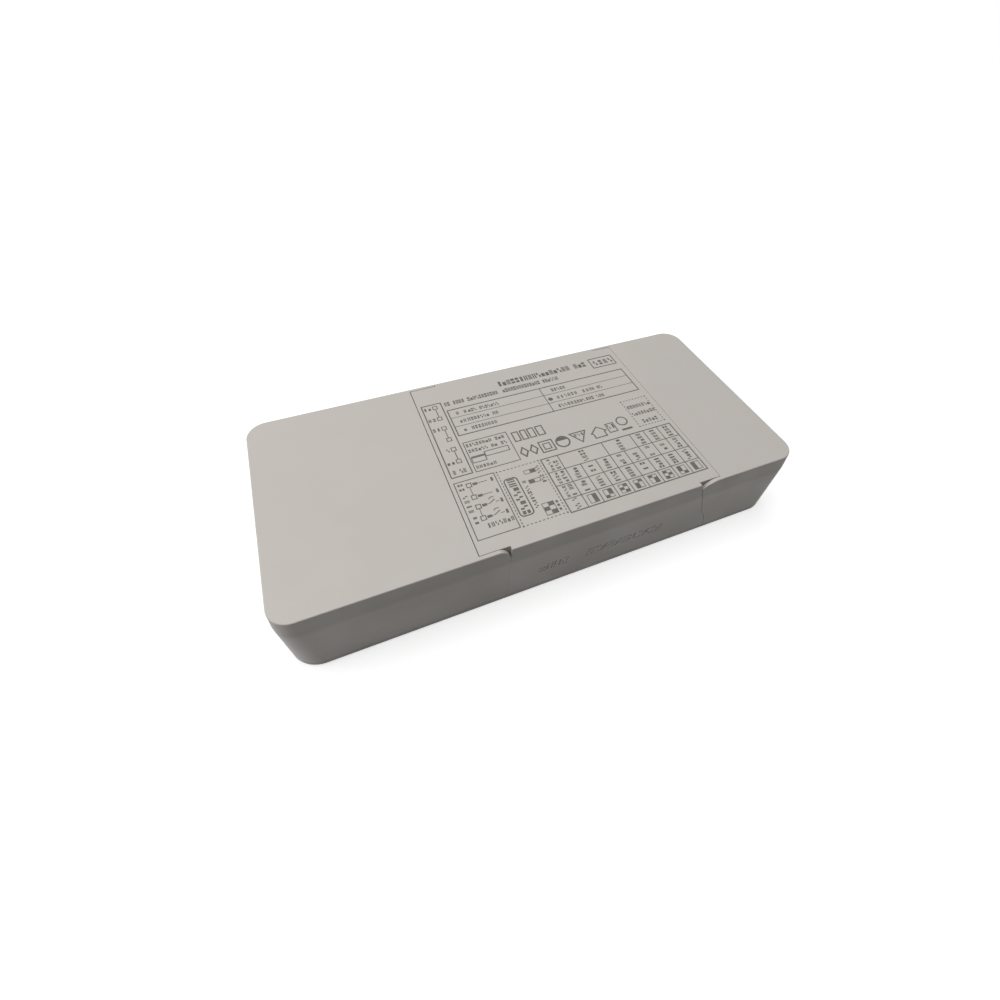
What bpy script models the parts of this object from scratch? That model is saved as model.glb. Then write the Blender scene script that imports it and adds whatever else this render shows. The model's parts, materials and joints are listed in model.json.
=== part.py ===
"""Independent LED driver: a flat plastic case in four mouldings round one circuit board.

Lengths are in metres. +X runs along the case to the secondary (output) end, +Y goes to the
far side and +Z is up. The origin is under the middle of the case, on the face it stands on.
"""

import math
from collections import namedtuple

import bmesh
import bpy
from mathutils import Vector

MM = 0.001

# Outer case
LENGTH = 157.2 * MM
WIDTH = 70.0 * MM
HEIGHT = 24.8 * MM
CORNER_TOP = 5.9 * MM
CORNER_FOOT = 8.4 * MM
EDGE_ROUND = 1.3 * MM
END_DRAFT = 1.1 * MM
SIDE_DRAFT = 0.28 * MM
STRAIGHT_BAND = 5.8 * MM
WALL = 1.5 * MM
TOP_WALL = 1.6 * MM
SKIRT_LIFT = 0.6 * MM

# Clearance between pieces, root of a rib in its wall, overrun of a cutter past its face
GAP = 0.3 * MM
ROOT = 0.7 * MM
PASS = 2.0 * MM

# Seams between the label housing and the two covers
PRIMARY_COVER = 51.4 * MM
PRIMARY_EAR = 8.7 * MM
PRIMARY_LEAN = math.radians(1.5)
SECONDARY_COVER = 29.3 * MM
SECONDARY_EAR = 7.3 * MM
SECONDARY_LEAN = math.radians(17)
SECONDARY_JOG = 1.0 * MM
JOG_LEVEL = 9.5 * MM
JOG_DROP = 0.7 * MM
EAR_SKIN = 1.2 * MM
SEAM_GROOVE = 0.8 * MM
NOTCH = 1.6 * MM
LAP = 4.0 * MM
LAP_THICKNESS = 1.2 * MM
PARTITION = 1.5 * MM
PARTITION_SETBACK = 2.2 * MM
PARTITION_LIFT = 1.0 * MM
RIB = 0.9 * MM
RIB_DROP = 1.6 * MM
RIB_COUNT = 4

# Base tray
FLOOR = 2.0 * MM
RIM_TOP = 5.0 * MM
RIM = 1.3 * MM
POST_RADIUS = 2.2 * MM
SCREW_POST_RADIUS = 2.8 * MM
BLIND_FLOOR = 1.0 * MM
SNAP_LENGTH = 7.0 * MM
SNAP_REACH = 0.9 * MM
SNAP_HEIGHT = 0.9 * MM
SNAP_PITCH = 20.0 * MM
SNAP_COUNT = 3
GUIDE_WIDTH = 2.4 * MM
GUIDE_FROM_SEAM = 6.0 * MM
GUIDE_FROM_CORNER = 2.0 * MM
FIXING_HOLE = 1.9 * MM
FIXING_BOSS = 3.6 * MM
FIXING_BOSS_TOP = 3.6 * MM
FIXING_FROM_END = 9.0 * MM
FIXING_FROM_SIDE = 5.6 * MM
FILM = 0.4 * MM
FILM_MARGIN = 1.0 * MM

# Cable entries and clamps
ENTRY_RADIUS = 4.6 * MM
ENTRY_HEIGHT = 6.9 * MM
ENTRY_FROM_SIDE = 21.2 * MM
SADDLE_LENGTH = 8.0 * MM
SADDLE_SETBACK = 1.0 * MM
SADDLE_MARGIN = 1.8 * MM
CLAMP_LENGTH = 6.4 * MM
CLAMP_THICKNESS = 2.6 * MM
CLAMP_CORNER = 3.0 * MM
CLAMP_SEAT = 8.2 * MM
CLAMP_RIB = 0.8 * MM
CLAMP_RIB_MARGIN = 1.0 * MM
CLAMP_CREST = 1.0 * MM
CLAMP_BOSS = 3.1 * MM
CLAMP_BOSS_SPACE = 1.4 * MM

# Screws
SCREW_HEAD = 2.6 * MM
SCREW_CROWN = 1.8 * MM
SCREW_HEAD_HEIGHT = 1.7 * MM
SCREW_HEAD_EDGE = 0.9 * MM
SCREW_SHANK = 1.3 * MM
SCREW_POINT = 0.6 * MM
SCREW_POINT_LENGTH = 1.0 * MM
SCREW_LENGTH = 5.2 * MM
RECESS_WIDTH = 0.6 * MM
RECESS_REACH = 1.3 * MM
RECESS_DEPTH = 0.9 * MM

# Circuit board
PRIMARY_CHAMBER = 29.5 * MM
SECONDARY_CHAMBER = 14.0 * MM
BOARD_PLAY = 0.72 * MM
BOARD_THICKNESS = 1.6 * MM
LEAD = 0.35 * MM
LEAD_HOLE = 0.75 * MM
LEAD_TAIL = 1.2 * MM
POST_FROM_EDGE = 3.7 * MM
POST_FROM_END = 4.0 * MM
SCREW_FROM_EDGE = 4.7 * MM
PRIMARY_SCREW_FROM_END = 6.5 * MM
SECONDARY_SCREW_FROM_END = 5.0 * MM

# Push-wire terminals
MAINS_POLES = 6
CONTROL_POLES = 4
OUTPUT_POLES = 2
TERMINAL_INSET = 2.6 * MM
TERMINAL_FROM_END = 1.0 * MM
TERMINAL_DEPTH = 14.0 * MM
TERMINAL_HEADROOM = 3.4 * MM
OUTPUT_DEPTH = 10.6 * MM
OUTPUT_HEADROOM = 5.0 * MM
TERMINAL_SLOPE = 2.4 * MM
TERMINAL_WALL = 0.8 * MM
FRONT_WALL = 1.6 * MM
WIRE_HOLE = 2.9 * MM
RELEASE_FROM_BACK = 2.0 * MM
RELEASE_LENGTH = 2.0 * MM
RELEASE_WIDTH = 2.3 * MM
CLIP_THICKNESS = 0.4 * MM
CLIP_FOOT = 0.5 * MM
CLIP_BACK = 1.3 * MM
CLIP_BEND = 0.5 * MM
CLIP_CREST = 1.5 * MM
CLIP_PRESS = 3.5 * MM
CLIP_LIP = 1.6 * MM
CLIP_PIN = 3.2 * MM

# Selector switch
SWITCH_WIDTH = 9.0 * MM
SWITCH_DEPTH = 6.4 * MM
SWITCH_HEIGHT = 3.6 * MM
SWITCH_PITCH = 2.54 * MM
SWITCH_WAYS = 3
SWITCH_PIN_PITCH = 4.6 * MM
SWITCH_FROM_END = 7.0 * MM
SWITCH_FROM_EDGE = 13.2 * MM
SLOT_LENGTH = 4.2 * MM
SLOT_WIDTH = 1.7 * MM
SLOT_DEPTH = 2.4 * MM
SLIDER_LENGTH = 1.6 * MM
SLIDER_PROUD = 0.8 * MM
SMALL_CHAMFER = 0.2 * MM
BODY_CHAMFER = 0.5 * MM

# Leads, wires and sheet metal keep their size whatever part they belong to
BOX_LEAD_INSET = 1.5 * MM
WIRE_RADIUS = 0.38 * MM
COIL_SPACE = 0.6 * MM
COIL_SPREAD = math.radians(62)
CAN_GROOVE = 0.5 * MM
CAN_SCORE = 0.4 * MM
SPREADER_SHEET = 1.6 * MM
TRANSISTOR_PITCH = 2.54 * MM
CHIP_HEIGHT = 1.6 * MM
CHIP_LIFT = 0.1 * MM
CHIP_PITCH = 1.27 * MM
CHIP_LEG_WIDTH = 0.45 * MM
CHIP_LEG_SHEET = 0.25 * MM
CHIP_LEG_LEVEL = 0.9 * MM
CHIP_LEG_REACH = 1.3 * MM
CHIP_END = 0.6 * MM

# Heights that several pieces share
BOARD_LOW = RIM_TOP + GAP
BOARD_TOP = BOARD_LOW + BOARD_THICKNESS
PART_FOOT = BOARD_TOP + GAP
LEAD_END = BOARD_LOW - LEAD_TAIL

# Straight inner faces of the case, and the tray that fits between them
INNER_END = LENGTH / 2 - END_DRAFT - WALL
INNER_SIDE = WIDTH / 2 - SIDE_DRAFT - WALL
INNER_CORNER = CORNER_FOOT - WALL
INNER_TOP = HEIGHT - TOP_WALL
TRAY_END = INNER_END - GAP
TRAY_SIDE = INNER_SIDE - GAP
TRAY_CORNER = INNER_CORNER - GAP
CLAMP_PLACE = TRAY_END - RIM - SADDLE_SETBACK - SADDLE_LENGTH / 2

# The board between the two wiring chambers and the side laps
BOARD_START = PRIMARY_CHAMBER - INNER_END
BOARD_END = INNER_END - SECONDARY_CHAMBER
BOARD_EDGE = TRAY_SIDE - LAP_THICKNESS - BOARD_PLAY

# What differs between the two ends: sign is the end's direction along X
End = namedtuple("End", "sign seam ear lean jog entries")
MAINS_ENTRY = INNER_SIDE - ENTRY_FROM_SIDE
PRIMARY = End(-1, LENGTH / 2 - PRIMARY_COVER, PRIMARY_EAR, PRIMARY_LEAN, 0.0,
              (-MAINS_ENTRY, MAINS_ENTRY))
SECONDARY = End(1, LENGTH / 2 - SECONDARY_COVER, SECONDARY_EAR, SECONDARY_LEAN, SECONDARY_JOG,
                (0.0,))
ENDS = (PRIMARY, SECONDARY)

# Room for the parts on the board: between the partitions, across the board and above it
PRIMARY_PARTITION = PARTITION_SETBACK - PRIMARY.seam
SECONDARY_PARTITION = SECONDARY.seam - PARTITION_SETBACK
ROOM_LENGTH = SECONDARY_PARTITION - PRIMARY_PARTITION - 2 * PARTITION
HEADROOM = INNER_TOP - PART_FOOT

# The parts' sizes count steps of that room, each about 1 mm: a smaller case takes smaller parts
PLAN_STEP = min(ROOM_LENGTH / 69, BOARD_EDGE / 31)
ROW_STEP = BOARD_EDGE / 31
RISE_STEP = HEADROOM / 16
ROUND_STEP = min(PLAN_STEP, RISE_STEP)

# Terminals: pitch and height follow the board's width and the headroom over it
TERMINAL_HEIGHT = HEADROOM - TERMINAL_HEADROOM
OUTPUT_HEIGHT = HEADROOM - OUTPUT_HEADROOM
WIRE_LEVEL = 4.9 * RISE_STEP
POLE_PITCH = 5.0 * ROW_STEP
CONTROL_PITCH = 4.2 * ROW_STEP
MAINS_START = TERMINAL_INSET - BOARD_EDGE
CONTROL_START = MAINS_START + MAINS_POLES * POLE_PITCH + TERMINAL_INSET
OUTPUT_START = -OUTPUT_POLES * POLE_PITCH / 2

# Mains side parts: a box's size is along X, along Y and up
FUSE_RADIUS = 4.2 * PLAN_STEP
FUSE_HEIGHT = 8.0 * RISE_STEP
RADIAL_PITCH = 5.0 * PLAN_STEP
VARISTOR_RADIUS = 5.2 * ROUND_STEP
VARISTOR_THICKNESS = 4.0 * PLAN_STEP
SAFETY_RADIUS = 4.0 * ROUND_STEP
SAFETY_THICKNESS = 3.4 * PLAN_STEP
DISC_LIFT = 1.0 * RISE_STEP
DISC_SOFTNESS = 1.1 * PLAN_STEP
MAINS_CAPACITOR = (7.5 * PLAN_STEP, 18.0 * PLAN_STEP, 13.5 * RISE_STEP)
FILM_CAPACITOR = (6.0 * PLAN_STEP, 13.0 * PLAN_STEP, 11.0 * RISE_STEP)
RECTIFIER = (3.6 * PLAN_STEP, 14.4 * PLAN_STEP, 10.5 * RISE_STEP)
RECTIFIER_CORNER = 2.0 * PLAN_STEP
RECTIFIER_PITCH = 3.6 * PLAN_STEP
RING_OUTER = 8.0 * PLAN_STEP
RING_INNER = 4.6 * PLAN_STEP
RING_THICKNESS = 5.6 * RISE_STEP
BULK_RADIUS = 6.5 * ROUND_STEP
BULK_LENGTH = 27.0 * PLAN_STEP
BULK_BEND = 2.2 * PLAN_STEP
CAN_GROOVE_LEVEL = 2.6 * PLAN_STEP

# Switching stage and output side parts
SPREADER_LENGTH = 20.0 * PLAN_STEP
SPREADER_HEIGHT = 14.0 * RISE_STEP
SPREADER_FOOT = 6.0 * PLAN_STEP
TRANSISTOR = (10.0 * PLAN_STEP, 4.2 * PLAN_STEP, 9.4 * RISE_STEP)
TRANSISTOR_LIFT = 3.4 * RISE_STEP
TRANSISTOR_HOLE_LEVEL = 6.2 * RISE_STEP
OUTPUT_CAN_RADIUS = 5.0 * PLAN_STEP
OUTPUT_CAN_HEIGHT = 14.5 * RISE_STEP
OPTOCOUPLER = (4.6 * PLAN_STEP, 6.4 * PLAN_STEP, 3.6 * RISE_STEP)
CHIP_WIDTH = 4.0 * PLAN_STEP
FILTER_CHIP = 5.1 * PLAN_STEP
DIMMING_CHIP = 7.6 * PLAN_STEP

Wound = namedtuple("Wound", "depth width leg thickness flange rail barrel cheek rail_depth pins")
FILTER_CHOKE = Wound(depth=16.5 * PLAN_STEP, width=15.0 * PLAN_STEP, leg=1.7 * PLAN_STEP,
                     thickness=5.0 * RISE_STEP, flange=4.8 * RISE_STEP, rail=1.6 * RISE_STEP,
                     barrel=0.5 * ROUND_STEP, cheek=0.8 * PLAN_STEP, rail_depth=2.3 * PLAN_STEP,
                     pins=2)
TRANSFORMER = Wound(depth=23.0 * PLAN_STEP, width=25.0 * PLAN_STEP, leg=3.4 * PLAN_STEP,
                    thickness=6.8 * RISE_STEP, flange=6.2 * RISE_STEP, rail=1.8 * RISE_STEP,
                    barrel=0.8 * ROUND_STEP, cheek=1.0 * PLAN_STEP, rail_depth=2.3 * PLAN_STEP,
                    pins=4)
RAIL_PIN_MARGIN = 1.5 * PLAN_STEP

# Rows of parts across the board
NEAR_ROW = -20.5 * ROW_STEP
FUSE_ROW = -25.0 * ROW_STEP
VARISTOR_ROW = -13.6 * ROW_STEP
MAINS_CAPACITOR_ROW = 3.0 * ROW_STEP
FILM_CAPACITOR_ROW = -2.6 * ROW_STEP
FILTER_CHIP_ROW = 11.0 * ROW_STEP
SPREADER_ROW = 5.0 * ROW_STEP
FAR_ROW = 22.0 * ROW_STEP
MIDDLE_POST_ROW = -8.5 * ROW_STEP

# Where the tray carries the board
POST_REACH = BOARD_EDGE - POST_FROM_EDGE
BOARD_POSTS = ((BOARD_START + POST_FROM_END, -POST_REACH),
               (PRIMARY_PARTITION, -POST_REACH), (PRIMARY_PARTITION, POST_REACH),
               ((PRIMARY_PARTITION + SECONDARY_PARTITION) / 2, MIDDLE_POST_ROW),
               (SECONDARY_PARTITION, -POST_REACH), (SECONDARY_PARTITION, POST_REACH))
BOARD_SCREWS = ((BOARD_START + PRIMARY_SCREW_FROM_END, BOARD_EDGE - SCREW_FROM_EDGE),
                (BOARD_END - SECONDARY_SCREW_FROM_END, SCREW_FROM_EDGE - BOARD_EDGE))

# Filled by each lead as it is made, and read when the board is drilled
lead_places = []


def clear_scene():
    for old in list(bpy.data.objects):
        bpy.data.objects.remove(old, do_unlink=True)


def material(name, colour, roughness, metallic=0.0):
    made = bpy.data.materials.new(name)
    made.use_nodes = True
    shader = made.node_tree.nodes["Principled BSDF"]
    shader.inputs["Base Color"].default_value = (*colour, 1.0)
    shader.inputs["Roughness"].default_value = roughness
    shader.inputs["Metallic"].default_value = metallic
    return made


# Shapes: each function returns one closed mesh

def finished(bm):
    bmesh.ops.recalc_face_normals(bm, faces=bm.faces)
    mesh = bpy.data.meshes.new("shape")
    bm.to_mesh(mesh)
    bm.free()
    return mesh


def span(middle, size):
    return (middle - size / 2, middle + size / 2)


def reach(sign, near, far):
    """The stretch from near to far on one side of the middle, lower end first."""
    return tuple(sorted((sign * near, sign * far)))


def spread(count, pitch, middle=0.0):
    """Places of a pattern that is centred on its middle."""
    return [middle + (number - (count - 1) / 2) * pitch for number in range(count)]


def block(x, y, z, chamfer=0.0):
    bm = bmesh.new()
    bmesh.ops.create_cube(bm, size=2.0)
    for vert in bm.verts:
        vert.co = Vector([pair[side > 0] for pair, side in zip((x, y, z), vert.co)])
    if chamfer:
        bmesh.ops.bevel(bm, geom=bm.edges[:], offset=chamfer, segments=1, affect="EDGES")
    return finished(bm)


def loft(rings):
    """Skin through rings of equal count, closed by a flat face at each end."""
    bm = bmesh.new()
    loops = [[bm.verts.new(point) for point in ring] for ring in rings]
    for low, high in zip(loops, loops[1:]):
        for i in range(len(low)):
            j = (i + 1) % len(low)
            bm.faces.new((low[i], low[j], high[j], high[i]))
    bm.faces.new(loops[0][::-1])
    bm.faces.new(loops[-1])
    return finished(bm)


def placed(axis, a, b, along):
    """A point from its place across an axis and its place along that axis."""
    if axis == "X":
        return Vector((along, a, b))
    if axis == "Y":
        return Vector((a, along, b))
    return Vector((a, b, along))


def prism(outline, axis, low, high):
    return loft([[placed(axis, a, b, along) for a, b in outline] for along in (low, high)])


def circle(radius, sides, a=0.0, b=0.0):
    turn = [2 * math.pi * (i + 0.5) / sides for i in range(sides)]
    return [(a + radius * math.cos(t), b + radius * math.sin(t)) for t in turn]


def rod(radius, axis, low, high, a=0.0, b=0.0, sides=16):
    return prism(circle(radius, sides, a, b), axis, low, high)


def turned(profile, axis, a=0.0, b=0.0, sides=16):
    """Turned solid: the profile is (radius, place along the axis) from end to end."""
    return loft([[placed(axis, u, v, along) for u, v in circle(radius, sides, a, b)]
                 for radius, along in profile])


def rounded_outline(half_x, half_y, corner, steps=6):
    outline = []
    for quarter, (sx, sy) in enumerate(((1, 1), (-1, 1), (-1, -1), (1, -1))):
        for step in range(steps + 1):
            turn = math.pi / 2 * (quarter + step / steps)
            outline.append((sx * (half_x - corner) + corner * math.cos(turn),
                            sy * (half_y - corner) + corner * math.sin(turn)))
    return outline


def strip(points, thickness):
    """Outline of a bent sheet-metal strip that follows points with its left face."""
    points = [Vector(point) for point in points]
    offset = []
    for i, point in enumerate(points):
        before = (point - points[i - 1]).normalized() if i else None
        after = (points[i + 1] - point).normalized() if i + 1 < len(points) else None
        before, after = before or after, after or before
        normal = Vector((-before.y - after.y, before.x + after.x)).normalized()
        side = Vector((-before.y, before.x))
        offset.append(point + normal * (thickness / normal.dot(side)))
    return [tuple(p) for p in points] + [tuple(p) for p in reversed(offset)]


def boolean(mesh, others, operation):
    """The mesh after one exact Boolean with all the others."""
    target = bpy.data.objects.new("target", mesh)
    helpers = bpy.data.collections.new("helpers")
    bpy.context.scene.collection.objects.link(target)
    bpy.context.scene.collection.children.link(helpers)
    for other in others:
        helpers.objects.link(bpy.data.objects.new("helper", other))
    modifier = target.modifiers.new("Boolean", "BOOLEAN")
    modifier.operation = operation
    modifier.solver = "EXACT"
    modifier.operand_type = "COLLECTION"
    modifier.collection = helpers
    graph = bpy.context.evaluated_depsgraph_get()
    result = bpy.data.meshes.new_from_object(target.evaluated_get(graph))
    for helper in list(helpers.objects):
        bpy.data.objects.remove(helper, do_unlink=True)
    bpy.data.objects.remove(target, do_unlink=True)
    bpy.data.collections.remove(helpers)
    return result


def joined(first, *others):
    return boolean(first, others, "UNION") if others else first


def cut(mesh, *cutters):
    return boolean(mesh, cutters, "DIFFERENCE") if cutters else mesh


def common(mesh, other):
    return boolean(mesh, [other], "INTERSECT")


def piece(name, mesh, finish, origin=None, smooth=30):
    """A named object. A moving piece has its origin set on its joint's axis."""
    if origin:
        shift = Vector(origin)
        for vert in mesh.vertices:
            vert.co -= shift
    mesh.materials.clear()
    mesh.materials.append(finish)
    mesh.shade_smooth()
    mesh.set_sharp_from_angle(angle=math.radians(smooth))
    mesh.name = name
    made = bpy.data.objects.new(name, mesh)
    made.location = origin or (0, 0, 0)
    bpy.context.scene.collection.objects.link(made)
    return made


def copy_of(original, name, place):
    """Another of the same piece, sharing its mesh."""
    made = bpy.data.objects.new(name, original.data)
    made.location = place
    bpy.context.scene.collection.objects.link(made)
    return made


def lead(x, y, top, radius=LEAD):
    """A round lead through the board, noted so that the board gets its hole."""
    lead_places.append((x, y))
    return rod(radius, "Z", LEAD_END, top, x, y, sides=6)


# Case

def case_solid():
    """The outer form: straight near the top, drawn in towards the foot, rounded top edge."""
    band = HEIGHT - STRAIGHT_BAND
    slope = (band - SKIRT_LIFT) / band
    foot_corner = CORNER_TOP + (CORNER_FOOT - CORNER_TOP) * slope
    rings = [(SKIRT_LIFT, END_DRAFT * slope, SIDE_DRAFT * slope, foot_corner),
             (band, 0.0, 0.0, CORNER_TOP)]
    steps = 4
    for step in range(steps + 1):
        turn = math.pi / 2 * step / steps
        inset = EDGE_ROUND * (1 - math.cos(turn))
        level = HEIGHT - EDGE_ROUND * (1 - math.sin(turn))
        rings.append((level, inset, inset, CORNER_TOP - inset))
    return loft([[(x, y, level) for x, y in rounded_outline(
        LENGTH / 2 - end, WIDTH / 2 - side, corner)] for level, end, side, corner in rings])


def case_shell():
    inside = prism(rounded_outline(INNER_END, INNER_SIDE, INNER_CORNER), "Z", 0.0, INNER_TOP)
    return cut(case_solid(), inside)


def seam_line(end):
    """An end's side seam in X and Z, from above the case to below it."""
    slope = math.tan(end.lean)
    tip = end.seam - end.ear
    at_jog = tip + slope * (HEIGHT - JOG_LEVEL)
    line = [(tip - slope * PASS, HEIGHT + PASS), (at_jog, JOG_LEVEL)]
    if end.jog:
        line.append((at_jog + end.jog, JOG_LEVEL - JOG_DROP))
    last_x, last_z = line[-1]
    line.append((last_x + slope * (last_z + PASS), -PASS))
    return [(end.sign * x, z) for x, z in line]


def band_along(line, start, end):
    """The strip of the XZ plane from start to end, both measured along X from a line."""
    return [(x + start, z) for x, z in line] + [(x + end, z) for x, z in reversed(line)]


def beyond_seam(end, shift):
    """All space on the cover's side of a seam, its faces moved towards the cover by shift."""
    ear_face = WIDTH / 2 - EAR_SKIN + shift
    middle = block(reach(end.sign, end.seam + shift, LENGTH), span(0, 2 * WIDTH),
                   (-2 * PASS, HEIGHT + 2 * PASS))
    side_strip = band_along(seam_line(end), end.sign * shift, end.sign * LENGTH)
    ears = [prism(side_strip, "Y", *reach(side, ear_face, WIDTH)) for side in (-1, 1)]
    return joined(middle, *ears)


def seam_grooves(end):
    """V grooves that round the seams' edges on the top face, and the notch at each ear tip."""
    half = SEAM_GROOVE / 2
    wedge = [(-half, HEIGHT), (0.0, HEIGHT - half), (half, HEIGHT), (half, HEIGHT + PASS),
             (-half, HEIGHT + PASS)]
    ear_face = WIDTH / 2 - EAR_SKIN
    seam = end.sign * end.seam
    tip = end.sign * (end.seam - end.ear)
    cutters = [prism([(x + seam, z) for x, z in wedge], "Y", -ear_face, ear_face)]
    notch = [(tip - NOTCH / 2, HEIGHT + PASS), (tip - NOTCH / 2, HEIGHT), (tip, HEIGHT - NOTCH),
             (tip + NOTCH / 2, HEIGHT), (tip + NOTCH / 2, HEIGHT + PASS)]
    for side in (-1, 1):
        line = side * ear_face
        cutters.append(prism([(y + line, z) for y, z in wedge], "X",
                             *reach(end.sign, end.seam, end.seam - end.ear)))
        cutters.append(prism(notch, "Y", *reach(side, ear_face - GAP, WIDTH)))
    return cutters


def entry_arches(end):
    """Round-topped openings for the cables, open at the foot of a cover's end wall."""
    cutters = []
    for y in end.entries:
        arch = [(y + ENTRY_RADIUS * math.cos(turn), ENTRY_HEIGHT + ENTRY_RADIUS * math.sin(turn))
                for turn in (math.pi * step / 10 for step in range(11))]
        arch += [(y - ENTRY_RADIUS, -PASS), (y + ENTRY_RADIUS, -PASS)]
        cutters.append(prism(arch, "X", *reach(end.sign, INNER_END - PASS, LENGTH)))
    return cutters


def guide_places(end):
    """Where a cover's guide ribs stand along X, two on each long side."""
    return [end.sign * (end.seam + GUIDE_FROM_SEAM),
            end.sign * (TRAY_END - TRAY_CORNER - GUIDE_FROM_CORNER)]


def cover(name, end, finish):
    """An end cover: top, end wall and two long sides whose ears reach past the top seam."""
    shell = cut(common(case_shell(), beyond_seam(end, GAP / 2)),
                *seam_grooves(end), *entry_arches(end))
    ribs = []
    for x in guide_places(end):
        for side in (-1, 1):
            ribs.append(block(span(x, GUIDE_WIDTH - 2 * GAP),
                              reach(side, TRAY_SIDE - RIM + GAP, INNER_SIDE + ROOT),
                              (FLOOR + GAP, INNER_TOP + ROOT)))
    for y in spread(RIB_COUNT, 2 * INNER_SIDE / (RIB_COUNT + 1)):
        ribs.append(block(reach(end.sign, end.seam + LAP + 2 * GAP, INNER_END + ROOT), span(y, RIB),
                          (INNER_TOP - RIB_DROP, INNER_TOP + ROOT)))
    return piece(name, joined(shell, *ribs), finish, origin=(end.sign * end.seam, 0, 0))


def snap_places():
    return spread(SNAP_COUNT, SNAP_PITCH, (SECONDARY.seam - PRIMARY.seam) / 2)


def partition_and_laps(end):
    """The wall between a wiring chamber and the board's live parts, and the laps at its seam."""
    wall_face = end.seam - PARTITION_SETBACK
    lap_top = INNER_TOP - GAP
    lap_low = lap_top - LAP_THICKNESS
    lap_width = span(0, 2 * (TRAY_SIDE - 2 * LAP_THICKNESS))
    shapes = [block(reach(end.sign, wall_face, wall_face - PARTITION), span(0, 2 * TRAY_SIDE),
                    (BOARD_TOP + PARTITION_LIFT, INNER_TOP + ROOT)),
              block(reach(end.sign, wall_face - ROOT, end.seam + LAP), lap_width,
                    (lap_low, lap_top)),
              block(reach(end.sign, wall_face - ROOT, end.seam - GAP), lap_width,
                    (lap_low, INNER_TOP + ROOT))]
    window = block(span(0, LENGTH), span(0, WIDTH), (BOARD_LOW, lap_top - ROOT))
    line = seam_line(end)
    for side in (-1, 1):
        flange = prism(band_along(line, end.sign * LAP, -end.sign * LAP), "Y",
                       *reach(side, TRAY_SIDE - LAP_THICKNESS, TRAY_SIDE))
        carrier = prism(band_along(line, -end.sign * GAP, -end.sign * LAP), "Y",
                        *reach(side, TRAY_SIDE - LAP_THICKNESS, INNER_SIDE + GAP))
        shapes += [common(flange, window), common(carrier, window)]
    return shapes


def label_housing(finish):
    """The middle moulding: label panel, two sides, two partitions and laps behind the seams."""
    shell = cut(case_shell(), *(beyond_seam(end, -GAP / 2) for end in ENDS),
                *seam_grooves(PRIMARY), *seam_grooves(SECONDARY))
    noses = [block(span(x, SNAP_LENGTH - 2 * GAP),
                   reach(side, TRAY_SIDE - SNAP_REACH, INNER_SIDE + ROOT),
                   (FLOOR + 2 * GAP, FLOOR + 2 * GAP + SNAP_HEIGHT))
             for x in snap_places() for side in (-1, 1)]
    return piece("label_housing", joined(shell, *partition_and_laps(PRIMARY),
                                         *partition_and_laps(SECONDARY), *noses), finish)


# Tray

def clamp_reach(end):
    """How far each clamp boss stands from the middle: just past the outermost cable."""
    return end.entries[-1] + ENTRY_RADIUS + CLAMP_BOSS_SPACE + CLAMP_BOSS


def clamp_bosses(end):
    """The middles of the two bosses that carry an end's cable clamp."""
    return [(end.sign * CLAMP_PLACE, side * clamp_reach(end)) for side in (-1, 1)]


def board_supports():
    """Posts that carry the board, and the screw holes in two of them."""
    posts = [rod(POST_RADIUS, "Z", FLOOR - ROOT, RIM_TOP, x, y, sides=12) for x, y in BOARD_POSTS]
    posts += [rod(SCREW_POST_RADIUS, "Z", FLOOR - ROOT, RIM_TOP, x, y, sides=12)
              for x, y in BOARD_SCREWS]
    holes = [rod(SCREW_SHANK + GAP, "Z", BLIND_FLOOR, RIM_TOP + PASS, x, y, sides=8)
             for x, y in BOARD_SCREWS]
    return posts, holes


def fixings(end):
    """Bosses with through holes for the screws that hold the driver to its support."""
    x = end.sign * (INNER_END - FIXING_FROM_END)
    places = [(x, side * (INNER_SIDE - FIXING_FROM_SIDE)) for side in (-1, 1)]
    bosses = [rod(FIXING_BOSS, "Z", FLOOR - ROOT, FIXING_BOSS_TOP, a, b) for a, b in places]
    holes = [rod(FIXING_HOLE, "Z", -PASS, FIXING_BOSS_TOP + PASS, a, b, sides=12)
             for a, b in places]
    return bosses, holes


def cable_saddles(end):
    """Clamp bosses, and a saddle under each cable with a tongue that fills its arch."""
    shapes = [rod(CLAMP_BOSS, "Z", FLOOR - ROOT, CLAMP_SEAT, x, y, sides=12)
              for x, y in clamp_bosses(end)]
    holes = [rod(SCREW_SHANK + GAP, "Z", BLIND_FLOOR, CLAMP_SEAT + PASS, x, y, sides=8)
             for x, y in clamp_bosses(end)]
    rim_face = TRAY_END - RIM
    inner = rim_face - SADDLE_SETBACK - SADDLE_LENGTH
    for y in end.entries:
        shapes.append(block(reach(end.sign, inner, rim_face + ROOT),
                            span(y, 2 * (ENTRY_RADIUS + SADDLE_MARGIN)),
                            (FLOOR - ROOT, ENTRY_HEIGHT)))
        shapes.append(block(reach(end.sign, rim_face, TRAY_END + WALL),
                            span(y, 2 * (ENTRY_RADIUS - GAP)), (SKIRT_LIFT, ENTRY_HEIGHT)))
        holes.append(rod(ENTRY_RADIUS, "X", *reach(end.sign, inner - PASS, LENGTH), y, ENTRY_HEIGHT,
                         sides=20))
    return shapes, holes


def rim_slots():
    """Upright slots for the covers' guide ribs, and windows for the housing's snap noses."""
    slots = []
    for side in (-1, 1):
        across = reach(side, TRAY_SIDE - RIM - GAP, WIDTH)
        for x in guide_places(PRIMARY) + guide_places(SECONDARY):
            slots.append(block(span(x, GUIDE_WIDTH), across, (FLOOR, RIM_TOP + PASS)))
        for x in snap_places():
            slots.append(block(span(x, SNAP_LENGTH), across,
                               (FLOOR + GAP, FLOOR + 3 * GAP + SNAP_HEIGHT)))
    return slots


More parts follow.
